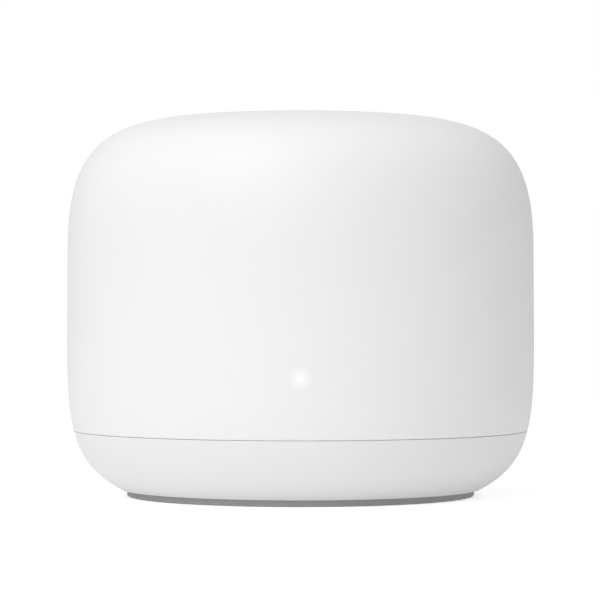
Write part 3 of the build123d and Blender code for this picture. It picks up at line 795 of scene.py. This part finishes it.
# ---- Network sockets ----
# Two 8P8C jacks: a folded tin shield with a windowed face and sprung grounding fingers, a black nylon insert
# with its plug space and latch notch, and eight gold-plated spring contacts in a comb.
socket_metal = 0.4 * MM
face_metal = 0.25 * MM
cavity_width = 11.9 * MM
cavity_depth = 14.5 * MM
cavity_low = 3.8 * MM
cavity_high = 10.7 * MM
latch_width = 6.4 * MM
latch_low = 2.4 * MM
nib_width = 3.8 * MM
nib_low = 1.0 * MM
finger_width = 2.2 * MM
finger_length = 6.5 * MM
finger_metal = 0.15 * MM
contact_pitch = 1.02 * MM
contact_size = 0.42 * MM
contact_drop = 2.0 * MM
comb_width = 0.62 * MM
comb_depth = 12.2 * MM
overlap = 0.1 * MM
lead_in = 0.3 * MM
pocket_half = 0.7 * MM
window_gap = 0.3 * MM


def rolled_metal(name, colour, roughness, stretch=(1, 1, 14), streak=0.25 * MM, stain=0.08):
    """Rolled or drawn sheet: fine streaks along one way and a faint cloudy tarnish."""
    material, metal, place = new_shader(name, {"Metallic": 1.0, "Anisotropic": 0.3})
    coloured(metal, noise(place, 4 * MM, 4), shade(colour, -stain), shade(colour, stain))
    streaks = noise(mapped(place, stretch=stretch), streak * max(stretch), 4)
    grained(metal, streaks, roughness - 0.1, roughness + 0.1, 0.008 * MM)
    return material


def section_bar(name, port, width, low, high, depth, start, flare=0.0, corner=0.0):
    """A bar into a socket from its face, between two heights above the insert's underside."""
    floor, front = inserts[port][0].z, inserts[port][1].y
    middle = (shields[port][0].x + shields[port][1].x) / 2
    return bar_along_y(
        name, width, high - low, corner, front - depth, front + start, x=middle, z=floor + (low + high) / 2,
        segments=3, flare=flare,
    )


def spring_contact(x, front, roof):
    """One contact: a round-bent strip that leaves the roof and slopes back and down to its free tip."""
    bm = bmesh.new()
    length, bend = 9 * MM, 1.2 * MM
    for vert in panel(bm, contact_size, 1, rows=9):
        along = 0.5 - vert.co.y
        drop = contact_drop * max(0.0, along * length - bend / 2) / (length - bend / 2)
        curl = 0.35 * MM * max(0.0, (along - 0.85) / 0.15) ** 2
        vert.co = Vector((x + vert.co.x, front - along * length, roof - drop + curl))
    push(bm, (0, 0, 0.3 * MM))
    round_edges(bm, sharp_edges(bm, 60), 0.08 * MM, segments=2)
    return bm


inserts = {port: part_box(f"{port}_socket_insert") for port in shields}
shield_material = rolled_metal("tinned_sheet", (0.66, 0.66, 0.645), 0.3)
contact_material = rolled_metal("gold_flash", (0.90, 0.66, 0.28), 0.32, stretch=(1, 10, 1), stain=0.05)
insert_material, _, _ = moulded_plastic(
    "black_nylon", (0.028, 0.028, 0.030), 0.42, grain=0.25 * MM, relief=0.02 * MM, mottle=0.15
)
for port, (low, high) in shields.items():
    middle_x = (low.x + high.x) / 2
    floor, front = inserts[port][0].z, inserts[port][1].y

    shield = box_bar(f"{port}_shield", low, high, 0.6 * MM)
    back, face = (low.x, low.y + socket_metal, low.z), (high.x, high.y - face_metal, high.z)
    hollow = box_bar("hollow", back, face, 0.3 * MM, grow=-socket_metal, segments=3)
    windows = []
    for wide, bottom, top in (
        (cavity_width, cavity_low - 0.2 * MM, cavity_high + window_gap),
        (latch_width, nib_low - 0.2 * MM, cavity_low),
    ):
        window = section_bar("window", port, wide + 2 * window_gap, bottom, top, MM, 2 * MM, corner=0.3 * MM)
        windows.append(window)
    carve(shield, [hollow] + windows)
    bm = bmesh.new()
    bm.from_mesh(shield.data)
    face_edges = [e for e in sharp_edges(bm, 60) if all(v.co.y > high.y - 1e-6 for v in e.verts)]
    round_edges(bm, face_edges, 0.1 * MM, segments=2)
    bm.to_mesh(shield.data)
    bm.free()
    shield.data.set_sharp_from_angle(angle=radians(35))
    dress(shield, shield_material, f"{port}_socket_shield")

    bm = bmesh.new()
    for side in (-1, 1):
        for vert in panel(bm, finger_width, finger_length, rows=8):
            back = 0.5 - vert.co.y / finger_length
            bulge = 0.55 * MM * sin(pi * min(1.0, back * 1.15)) - 0.3 * MM
            x = middle_x + side * (cavity_width / 2 - bulge)
            z = floor + (cavity_low + cavity_high) / 2 + vert.co.x * side
            vert.co = Vector((x, high.y - face_metal - back * finger_length, z))
    bmesh.ops.recalc_face_normals(bm, faces=bm.faces)
    thicken(bm, finger_metal)
    fingers = finished(f"{port}_shield_fingers", bm)
    dress(fingers, shield_material)

    insert = box_bar(f"{port}_insert", *inserts[port], 0.3 * MM, segments=3)
    cuts = []
    for wide, bottom, top in (
        (cavity_width, cavity_low, cavity_high),
        (latch_width, latch_low, cavity_low + overlap),
        (nib_width, nib_low, latch_low + overlap),
    ):
        cuts.append(section_bar("plug", port, wide, bottom, top, cavity_depth, -lead_in, 2 * lead_in))
    pocket_width, pocket_depth = cavity_width + 2 * pocket_half, finger_length + 0.8 * MM
    finger_z = (cavity_low + cavity_high) / 2
    bottom, top = finger_z - 2 * pocket_half, finger_z + 2 * pocket_half
    cuts.append(section_bar("pocket", port, pocket_width, bottom, top, pocket_depth, MM))
    roof = floor + cavity_high
    first = middle_x - 3.5 * contact_pitch
    for n in range(8):
        x = first + n * contact_pitch
        cuts.append(
            brick("comb", (x - comb_width / 2, front - comb_depth, roof - MM),
                  (x + comb_width / 2, front - 0.9 * MM, roof + 0.9 * MM))
        )
    carve(insert, cuts)
    dress(insert, insert_material, f"{port}_socket_insert")

    contacts = bmesh.new()
    for n in range(8):
        strip = spring_contact(first + n * contact_pitch, front - 1.1 * MM, roof + 0.05 * MM)
        spare = bpy.data.meshes.new("strip")
        strip.to_mesh(spare)
        strip.free()
        contacts.from_mesh(spare)
        bpy.data.meshes.remove(spare)
    springs = finished(f"{port}_contacts", contacts)
    dress(springs, contact_material, f"{port}_socket_contacts")


# ---- Network transformers ----
# A moulded block behind each socket, glued and soldered under the circuit board.
def moulded_epoxy(name, colour=(0.022, 0.022, 0.024), roughness=0.45, speck=0.12 * MM):
    """Filled epoxy: fine pale specks of filler and a dry, slightly uneven gloss."""
    material, epoxy, place = new_shader(name, {"Specular IOR Level": 0.5})
    filler = noise(place, speck, 3)
    coloured(epoxy, between(filler, 0, 1, 0.62, 0.72), colour, shade(colour, 2.2))
    cloud = noise(place, 3 * MM, 3)
    feed(epoxy.inputs["Roughness"], between(cloud, roughness - 0.08, roughness + 0.12))
    raised(epoxy, filler, 0.01 * MM)
    return material


epoxy_material = moulded_epoxy("black_epoxy")
lead_tin = rolled_metal("bright_tin", (0.70, 0.70, 0.69), 0.25, stretch=(1, 1, 6))


def bumps_of(name, made, material, body="housing"):
    """Several small blocks as one piece, each given by its two corners and the rounding of its edges."""
    bm = bmesh.new()
    for low, high, edge in made:
        add_block(bm, low, high, edge)
    piece = finished(name, bm)
    dress(piece, material, body=body)
    return piece


for port in shields:
    low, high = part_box(f"{port}_transformer")
    block = brick(f"{port}_transformer_block", low, high, edge=0.35 * MM)
    dress(block, epoxy_material, f"{port}_transformer")
    pins = []
    for n in range(12):
        x = low.x + (n + 0.75) * (high.x - low.x) / 12.5
        for y in (low.y, high.y):
            corner = (x, y - 0.55 * MM, board_low.z - 0.35 * MM)
            pins.append((corner, (x + 0.4 * MM, y + 0.55 * MM, board_low.z), 0))
    bumps_of(f"{port}_transformer_pins", pins, lead_tin)

# ---- Power inlet ----
# A black moulded jack whose round nose comes through the port panel, with a nickel-plated centre pin and a
# sprung side contact in its bore.
nose_radius = 4.2 * MM
bore_radius = 3.15 * MM
bore_depth = 9.5 * MM
inlet_low, inlet_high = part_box("power_inlet_body")
nose_root = inlet_low.y + MM
bore_end = inlet_high.y - bore_depth
inlet = brick(
    "power_inlet_jack", inlet_low, (inlet_high.x, bezel_low.y - port_gap, inlet_high.z), edge=0.3 * MM
)
nose = turning("nose", slab(0, nose_radius, nose_root, inlet_high.y), edge=0.35 * MM, place=at_inlet)
carve(inlet, [nose], "UNION")
bore = turning("bore", [
    (0, bore_end),
    (bore_radius, bore_end),
    (bore_radius, inlet_high.y - 0.4 * MM),
    (bore_radius + 0.55 * MM, inlet_high.y + 0.15 * MM),
    (0, inlet_high.y + 0.15 * MM),
], place=at_inlet)
slit_low = (inlet_x - MM, bore_end + MM, inlet_z + 2.6 * MM)
slit = brick("slit", slit_low, (inlet_x + MM, inlet_high.y - 2 * MM, inlet_z + 3.7 * MM))
carve(inlet, [bore, slit])
dress(inlet, insert_material, "power_inlet_body")
bm = bmesh.new()
leaf_width = 1.6 * MM
leaf_length = bore_depth - 3.4 * MM
leaf_front = inlet_high.y - 2.2 * MM
leaf_z = inlet_z + 3.35 * MM
for vert in panel(bm, leaf_width, 1, rows=8):
    back = 0.5 - vert.co.y
    rise = 0.45 * MM * sin(pi * back)
    vert.co = Vector((inlet_x + vert.co.x, leaf_front - back * leaf_length, leaf_z - rise))
push(bm, (0, 0, 0.18 * MM))
leaf = finished("power_inlet_leaf", bm)
dress(leaf, shield_material)
pin_profile = slab(0, pin_high.x - inlet_x, pin_low.y, pin_high.y)
pin = turning("power_inlet_pin_rod", pin_profile, steps=48, edge=0.55 * MM, place=at_inlet, segments=6)
nickel = rolled_metal("nickel_plate", (0.62, 0.59, 0.54), 0.2, stretch=(1, 12, 1), stain=0.04)
dress(pin, nickel, "power_inlet_pin")

# ---- Reset button and its switch ----
# A long white plastic button, dished at the end that shows through the floor. Its flange rests on the guide
# and its tip presses a small switch under the circuit board.
flange_radius = button_radius + 1.1 * MM
flange_top = guide_top + 1.2 * MM
tip_radius = 1.4 * MM
dish = 0.25 * MM
at_button = Matrix.Translation((*button_place, 0))
button = turning("reset_button_cap", [
    (0, button_low.z + dish),
    (button_radius * 0.45, button_low.z + 0.8 * dish),
    (button_radius * 0.8, button_low.z),
    (button_radius, button_low.z),
    (button_radius, guide_top),
    (flange_radius, guide_top),
    (flange_radius, flange_top),
    (tip_radius, flange_top),
    (tip_radius, button_high.z),
    (0, button_high.z),
], edge=0.12 * MM, place=at_button)
button_material, _, _ = moulded_plastic("matte_white_button", (0.72, 0.72, 0.715), 0.42)
dress(button, button_material, "reset_button", body="reset_button")
switch_low, switch_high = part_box("reset_switch_body")
switch = brick("reset_switch_case", switch_low, switch_high, edge=0.3 * MM)
plunger_low, plunger_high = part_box("reset_switch_plunger")
plunger_radius = (plunger_high.x - plunger_low.x) / 2
well_low, well_high = (*button_place, switch_low.z - MM), (*button_place, switch_low.z + 2.2 * MM)
carve(switch, [rod("well", plunger_radius + button_gap, well_low, well_high)])
dress(switch, insert_material, "reset_switch_body")
plunger_profile = slab(0, plunger_radius, plunger_low.z, plunger_high.z)
plunger = turning("reset_switch_plunger_rod", plunger_profile, edge=0.2 * MM, place=at_button)
dress(plunger, button_material, "reset_switch_plunger", body="switch_plunger")
legs = []
for side_x, side_y in ((-1, -1), (-1, 1), (1, -1), (1, 1)):
    x, y = button_place[0] + side_x * 3.2 * MM, button_place[1] + side_y * 2.2 * MM
    corner = (x - 0.6 * MM, y - 0.3 * MM, board_low.z - 0.25 * MM)
    legs.append((corner, (x + 0.6 * MM, y + 0.3 * MM, board_low.z), 0))
bumps_of("reset_switch_legs", legs, lead_tin)

# ---- Circuit boards ----
# The round main board and the small upright light board: glass-epoxy laminate under green solder mask, with
# copper tracks showing through it, tinned vias and a pale cut edge.
mask_dark, mask_light = (0.012, 0.085, 0.040), (0.030, 0.165, 0.070)
via_tin = (0.55, 0.56, 0.53)
glass_dark, glass_light = (0.34, 0.33, 0.17), (0.48, 0.46, 0.27)
varnish = {"Coat Weight": 0.5, "Coat Roughness": 0.12}
for node, axis in (("main_board", "Z"), ("light_board", "Y")):
    board_material, board, place = new_shader(f"laminate_{node}", varnish)
    tree = place.id_data
    cells = new_node(tree, "TexVoronoi", {"Vector": place, "Scale": 1 / (3.2 * MM), "Randomness": 0.85})
    cells.feature = "DISTANCE_TO_EDGE"
    tracks = between(cells.outputs["Distance"], 1, 0, 0.05, 0.075)
    lanes = new_node(tree, "TexWave", {"Vector": place, "Scale": 1 / (5.4 * MM), "Distortion": 0.6})
    lanes.bands_direction = "DIAGONAL"
    lane_lines = between(lanes.outputs["Fac"], 0, 1, 0.6, 0.68)
    region = between(noise(place, 14 * MM, 1), 0, 1, 0.48, 0.52)
    copper = blended(region, tracks, lane_lines)
    dots = new_node(tree, "TexVoronoi", {"Vector": place, "Scale": 1 / (2.4 * MM)})
    vias = between(dots.outputs["Distance"], 1, 0, 0.10, 0.13)
    face = blended(vias, blended(copper, mask_dark, mask_light), via_tin)
    glass = noise(mapped(place, stretch=(1, 1, 9)), 2 * MM, 4)
    facing = new_node(tree, "SeparateXYZ", {"Vector": new_node(tree, "TexCoord", {}).outputs["Normal"]})
    flat = math_node("ABSOLUTE", facing.outputs[axis], 0)
    coloured(board, flat, blended(glass, glass_dark, glass_light), face)
    grained(board, copper, 0.36, 0.28, 0.02 * MM)
    dress_node(board_material, node)

# ---- Chips ----
# Moulded packages on the top of the main board, each with rounded edges, a dimple at its first corner and
# a skirt of tinned solder joints.
chip_nodes = [
    "processor_chip", "memory_chip", "flash_chip", "radio_chip_left", "radio_chip_right", "mesh_radio_chip"
]
dimple = 0.12 * MM
for node in chip_nodes:
    low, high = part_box(node)
    package = brick(f"{node}_package", low, high, edge=0.12 * MM)
    corner = (low.x + 1.1 * MM, high.y - 1.1 * MM)
    carve(package, [rod("dimple", 0.45 * MM, (*corner, high.z - dimple), (*corner, high.z + MM), 24)])
    dress(package, epoxy_material, node)
    joints = []
    for n in range(int((high.x - low.x) / (0.9 * MM)) - 1):
        x = low.x + (n + 0.9) * 0.9 * MM
        for y in (low.y, high.y):
            joints.append(((x, y - 0.22 * MM, low.z), (x + 0.4 * MM, y + 0.22 * MM, low.z + 0.22 * MM), 0))
    bumps_of(f"{node}_joints", joints, lead_tin)
dress_node(epoxy_material, "amplifiers_left", "amplifiers_right")

# ---- Shields and heat pads ----
# Three drawn tin lids soldered round the chips, with rounded corners and a row of vent holes along their
# edges, and a soft silicone gel pad on each that carries its heat to the sink.
lid_metal = 0.3 * MM
hole_pitch = 3 * MM
gel_material, gel, place = new_shader("silicone_gel", {
    "Roughness": 0.55, "Specular IOR Level": 0.4, "Subsurface Weight": 0.15,
    "Subsurface Radius": (MM, MM, MM),
})
weave = new_node(place.id_data, "TexVoronoi", {"Vector": place, "Scale": 1 / (0.7 * MM)}).outputs["Distance"]
coloured(gel, weave, (0.25, 0.29, 0.34), (0.33, 0.38, 0.43))
raised(gel, weave, 0.05 * MM)
for name in ("processor", "radio_left", "radio_right"):
    low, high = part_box(f"{name}_shield")
    bm = bmesh.new()
    panel(bm, high.x - low.x, high.y - low.y)
    round_corners(bm, bm.verts[:], 0.8 * MM, 4)
    bmesh.ops.translate(bm, verts=bm.verts, vec=((low.x + high.x) / 2, (low.y + high.y) / 2, high.z))
    push(bm, (0, 0, low.z - high.z))
    round_edges(bm, [e for e in sharp_edges(bm) if all(v.co.z > high.z - 1e-6 for v in e.verts)], 0.25 * MM)
    lowest = [f for f in bm.faces if all(v.co.z < low.z + 1e-6 for v in f.verts)]
    bmesh.ops.delete(bm, geom=lowest, context="FACES_ONLY")
    thicken(bm, lid_metal)
    lid = finished(f"{name}_lid", bm)
    holes = []
    count = int((high.y - low.y) / hole_pitch)
    for n in range(count):
        y = (low.y + high.y) / 2 + (n - (count - 1) / 2) * hole_pitch
        for x in (low.x + 1.4 * MM, high.x - 1.4 * MM):
            holes.append(rod("hole", 0.5 * MM, (x, y, high.z - MM), (x, y, high.z + MM), 20))
    carve(lid, holes)
    dress(lid, shield_material, f"{name}_shield")
    low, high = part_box(f"{name}_heat_pad")
    pad = brick(f"{name}_gel_pad", low, high, edge=0.2 * MM)
    dress(pad, gel_material, f"{name}_heat_pad")

# ---- Capacitors and coils ----
# The power parts hang under the main board: three aluminium cans on black bases, crimped over their seals,
# and three pressed-powder coils between tinned end plates.
# radius, height, x and y, in millimetres
can_places = ((4.0, 10.5, -30.0, 4.0), (4.0, 10.5, -30.0, -6.0), (3.1, 7.5, -21.0, -16.0))
coil_places = ((30.0, -8.0), (20.0, -14.0), (9.0, -22.0))
coil_size = 7.0 * MM
coil_height = 4.0 * MM
can_material, can_shader, place = new_shader("drawn_aluminium", {"Metallic": 1.0, "Anisotropic": 0.4})
rings = noise(mapped(place, stretch=(1, 1, 10)), 1.6 * MM, 4)
coloured(can_shader, rings, (0.62, 0.63, 0.64), (0.74, 0.75, 0.76))
grained(can_shader, rings, 0.22, 0.4, 0.01 * MM)
cans = bmesh.new()
bases = []
for sizes in can_places:
    radius, tall, x, y = (size * MM for size in sizes)
    low, top = board_low.z - tall, board_low.z - 0.9 * MM
    crimp = top - 1.6 * MM
    spare = turning("can", [
        (0, low),
        (radius - 0.2 * MM, low),
        (radius - 0.2 * MM, crimp - 0.5 * MM),
        (radius - 0.65 * MM, crimp),
        (radius - 0.2 * MM, crimp + 0.5 * MM),
        (radius - 0.2 * MM, top),
        (0, top),
    ], edge=0.3 * MM, place=Matrix.Translation((x, y, 0)))
    cans.from_mesh(spare.data)
    bpy.data.objects.remove(spare)
    bases.append(((x - radius, y - radius, top), (x + radius, y + radius, board_low.z), 0.3 * MM))
dress(finished("capacitor_cans", cans), can_material, "capacitors")
bumps_of("capacitor_bases", bases, insert_material)
powder_material = moulded_epoxy("pressed_iron_powder", (0.035, 0.034, 0.033), 0.6, speck=0.3 * MM)
half = coil_size / 2
coils, plates = [], []
for at in coil_places:
    x, y = (c * MM for c in at)
    corner = (x - half, y - half, board_low.z - coil_height)
    coils.append((corner, (x + half, y + half, board_low.z), 0.5 * MM))
    for side in (-1, 1):
        low_y, high_y = sorted((y + side * (half - 1.6 * MM), y + side * (half + 0.25 * MM)))
        plates.append(((x - 2 * MM, low_y, board_low.z - 0.4 * MM), (x + 2 * MM, high_y, board_low.z), 0))
coil_group = bumps_of("power_coil_bodies", coils, powder_material)
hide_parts("power_coils")
bumps_of("power_coil_plates", plates, lead_tin)

# ---- Heat sink ----
# A round aluminium casting with parallel fins, left as cast: dull, faintly grainy, darker in places. Four
# screws through its seats clamp it down on the heat pads.
sink_material, casting, place = new_shader("cast_aluminium", {"Metallic": 1.0})
coloured(casting, noise(place, 9 * MM, 3), (0.44, 0.45, 0.46), (0.58, 0.59, 0.60))
grained(casting, noise(place, 0.5 * MM, 5), 0.45, 0.7, 0.06 * MM)
dress_node(sink_material, "heat_sink")

# ---- Screws ----
# Zinc-plated pan-head screws with a six-sided drive, in the heat sink's bosses and the aerial frame.
screw_material, zinc, place = new_shader("zinc_plate", {"Metallic": 1.0})
coloured(zinc, noise(place, 1.5 * MM, 3), (0.46, 0.47, 0.50), (0.58, 0.57, 0.54))
turned_marks = noise(mapped(place, stretch=(1, 1, 20)), 2 * MM, 3)
grained(zinc, turned_marks, 0.22, 0.42, 0.015 * MM)
dress_node(screw_material, "heat_sink_screws", "aerial_frame_screws")

# ---- Aerial frame ----
# The grey moulded carrier over the heat sink, with a leg for each aerial and for the light board.
frame_material, _, _ = moulded_plastic(
    "grey_frame_plastic", (0.085, 0.09, 0.095), 0.5, grain=0.5 * MM, relief=0.05 * MM, mottle=0.06
)
dress_node(frame_material, "aerial_frame")

# ---- Aerials and their leads ----
# Stamped brass strips, rolled lengthwise and lightly tarnished, hung on the frame's pegs. Each has a thin
# black coax lead that ends in a gold-plated snap-on plug on the main board.
brass_material = rolled_metal("stamped_brass", (0.66, 0.50, 0.24), 0.34, stretch=(12, 12, 1), stain=0.14)
sides = ("back_right", "back_left", "front_left", "front_right", "mesh")
dress_node(brass_material, *[f"aerial_{side}" for side in sides])
jacket_material, jacket, place = new_shader("extruded_jacket", {"Specular IOR Level": 0.45})
coloured(jacket, noise(place, 2.5 * MM, 3), (0.022, 0.022, 0.023), (0.036, 0.036, 0.037))
draw_lines = noise(mapped(place, stretch=(6, 6, 1)), 1.2 * MM, 3)
grained(jacket, draw_lines, 0.38, 0.56, 0.02 * MM)
dress_node(jacket_material, *[f"aerial_lead_{side}" for side in sides])
dress_node(contact_material, "coax_plugs")

# ---- Status light ----
# A white light-emitting diode on the upright board, an opaque holder over it and a clear acrylic pipe that
# ends just behind the thinned spot of the top shell. A flat amber ribbon feeds the board.
light_z = 29.3 * MM
led_low, led_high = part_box("status_led")
led = brick("status_led_package", led_low, led_high, edge=0.15 * MM)
led_material, lens, place = new_shader("led_package", {
    "Subsurface Weight": 0.2, "Subsurface Radius": (MM, MM, MM), "Emission Color": (1.0, 0.93, 0.80, 1),
    "Roughness": 0.3,
})
phosphor = between(distance(place, (0, led_low.y, light_z)), 1, 0, 0.9 * MM, 1.0 * MM)
ceramic = blended(noise(place, 0.3 * MM), (0.70, 0.70, 0.68), (0.80, 0.80, 0.78))
coloured(lens, phosphor, ceramic, (0.85, 0.70, 0.16))
feed(lens.inputs["Emission Strength"], between(phosphor, 0, 1.5))
raised(lens, phosphor, 0.1 * MM)
dress(led, led_material, "status_led")
dress_node(insert_material, "light_holder")
pipe_low, pipe_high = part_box("light_pipe")
pipe_radius = pipe_high.x
pipe = turning("light_pipe_rod", [
    (0, -pipe_high.y),
    (pipe_radius, -pipe_high.y),
    (pipe_radius, -pipe_low.y - 0.5 * MM),
    (0.7 * pipe_radius, -pipe_low.y - 0.15 * MM),
    (0, -pipe_low.y),
], steps=48, edge=0.08 * MM, place=Matrix.Translation((0, 0, light_z)) @ Matrix.Rotation(pi / 2, 4, "X"))
pipe_material, acrylic, place = new_shader(
    "clear_acrylic", {"Transmission Weight": 0.95, "IOR": 1.49, "Base Color": (0.95, 0.96, 0.97, 1)}
)
grained(acrylic, noise(mapped(place, stretch=(1, 0.2, 1)), 0.6 * MM), 0.03, 0.12, 0.01 * MM, strength=0.3)
dress(pipe, pipe_material, "light_pipe")
ribbon_material, film_shader, place = new_shader("polyimide_ribbon", {"Coat Weight": 0.4, "Roughness": 0.3})
across = new_node(place.id_data, "TexWave", {"Vector": place, "Scale": 1 / (6.4 * MM)})
strips = between(across.outputs["Fac"], 0, 1, 0.45, 0.55)
coloured(film_shader, strips, (0.30, 0.11, 0.016), (0.52, 0.24, 0.06))
raised(film_shader, strips, 0.02 * MM)
dress_node(ribbon_material, "light_ribbon")
low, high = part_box("ribbon_connector")
connector = brick("ribbon_connector_housing", low, high, edge=0.2 * MM)
mouth_low = (low.x + MM, low.y - MM, low.z + 0.5 * MM)
mouth_high = (high.x - MM, low.y + 1.2 * MM, high.z - 0.5 * MM)
carve(connector, [brick("mouth", mouth_low, mouth_high)])
dress(connector, button_material, "ribbon_connector")

# ---- Top shell ----
# The deep outer cup, injection moulded in matte white with a fine spark-eroded texture and snapped over the
# tongue. It has stops for the aerial frame and a pocket that leaves a thin spot for the status light.
light_skin = 0.7 * MM
pocket_radius = 3.15 * MM
stop_radius = 3.4 * MM
stop_circle = 30 * MM
stop_top = height - wall - 0.2 * MM
frame_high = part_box("aerial_frame")[1]
bm = turned_skin(outline())
cut_level(bm, seam_z + seam_gap / 2, keep_above=True)
thicken(bm, wall)
round_edges(bm, rim_edges(bm, seam_z + seam_gap / 2, side_radius - wall), seam_edge)
top_shell = finished("top_shell_skin", bm)
added = [snap_block(angle) for angle in snap_angles]
for place in circle_places(stop_circle, (90, 210, 330)):
    added.append(rod("stop", stop_radius, (*place, frame_high.z + fit_gap), (*place, stop_top)))
carve(top_shell, added, "UNION")
pocket_end = light_skin - skin_radius(0, light_z)
cutters = [
    bay_bar("bay", bezel_wall + port_gap, bezel_low.y, past_skin),
    rod("pocket", pocket_radius, (0, pocket_end, light_z), (0, -frame_high.x, light_z)),
]
carve(top_shell, cutters)
round_mouth(top_shell, mouth_edge)

# painted glow: emission painted on the shell's outer skin stands in for the status light shining through the
# thinned spot, brightest in the middle, gone at the rim of the glow
painted_glow_radius = 2.8 * MM
painted_glow_core = 0.1 * MM
painted_glow_strength = 0.12
shell_material, plastic, place = moulded_plastic(
    "matte_white_shell", (0.80, 0.80, 0.80), 0.5, settings={"Emission Color": (1, 1, 1, 1)}
)
off_light = distance(place, (0, -side_radius, light_z))
# painted light: the shell's emission strength, highest over the status light and zero beyond the glow's rim
feed(plastic.inputs["Emission Strength"], between(off_light, 0, painted_glow_strength, painted_glow_radius, painted_glow_core))
dress(top_shell, shell_material, "top_shell")
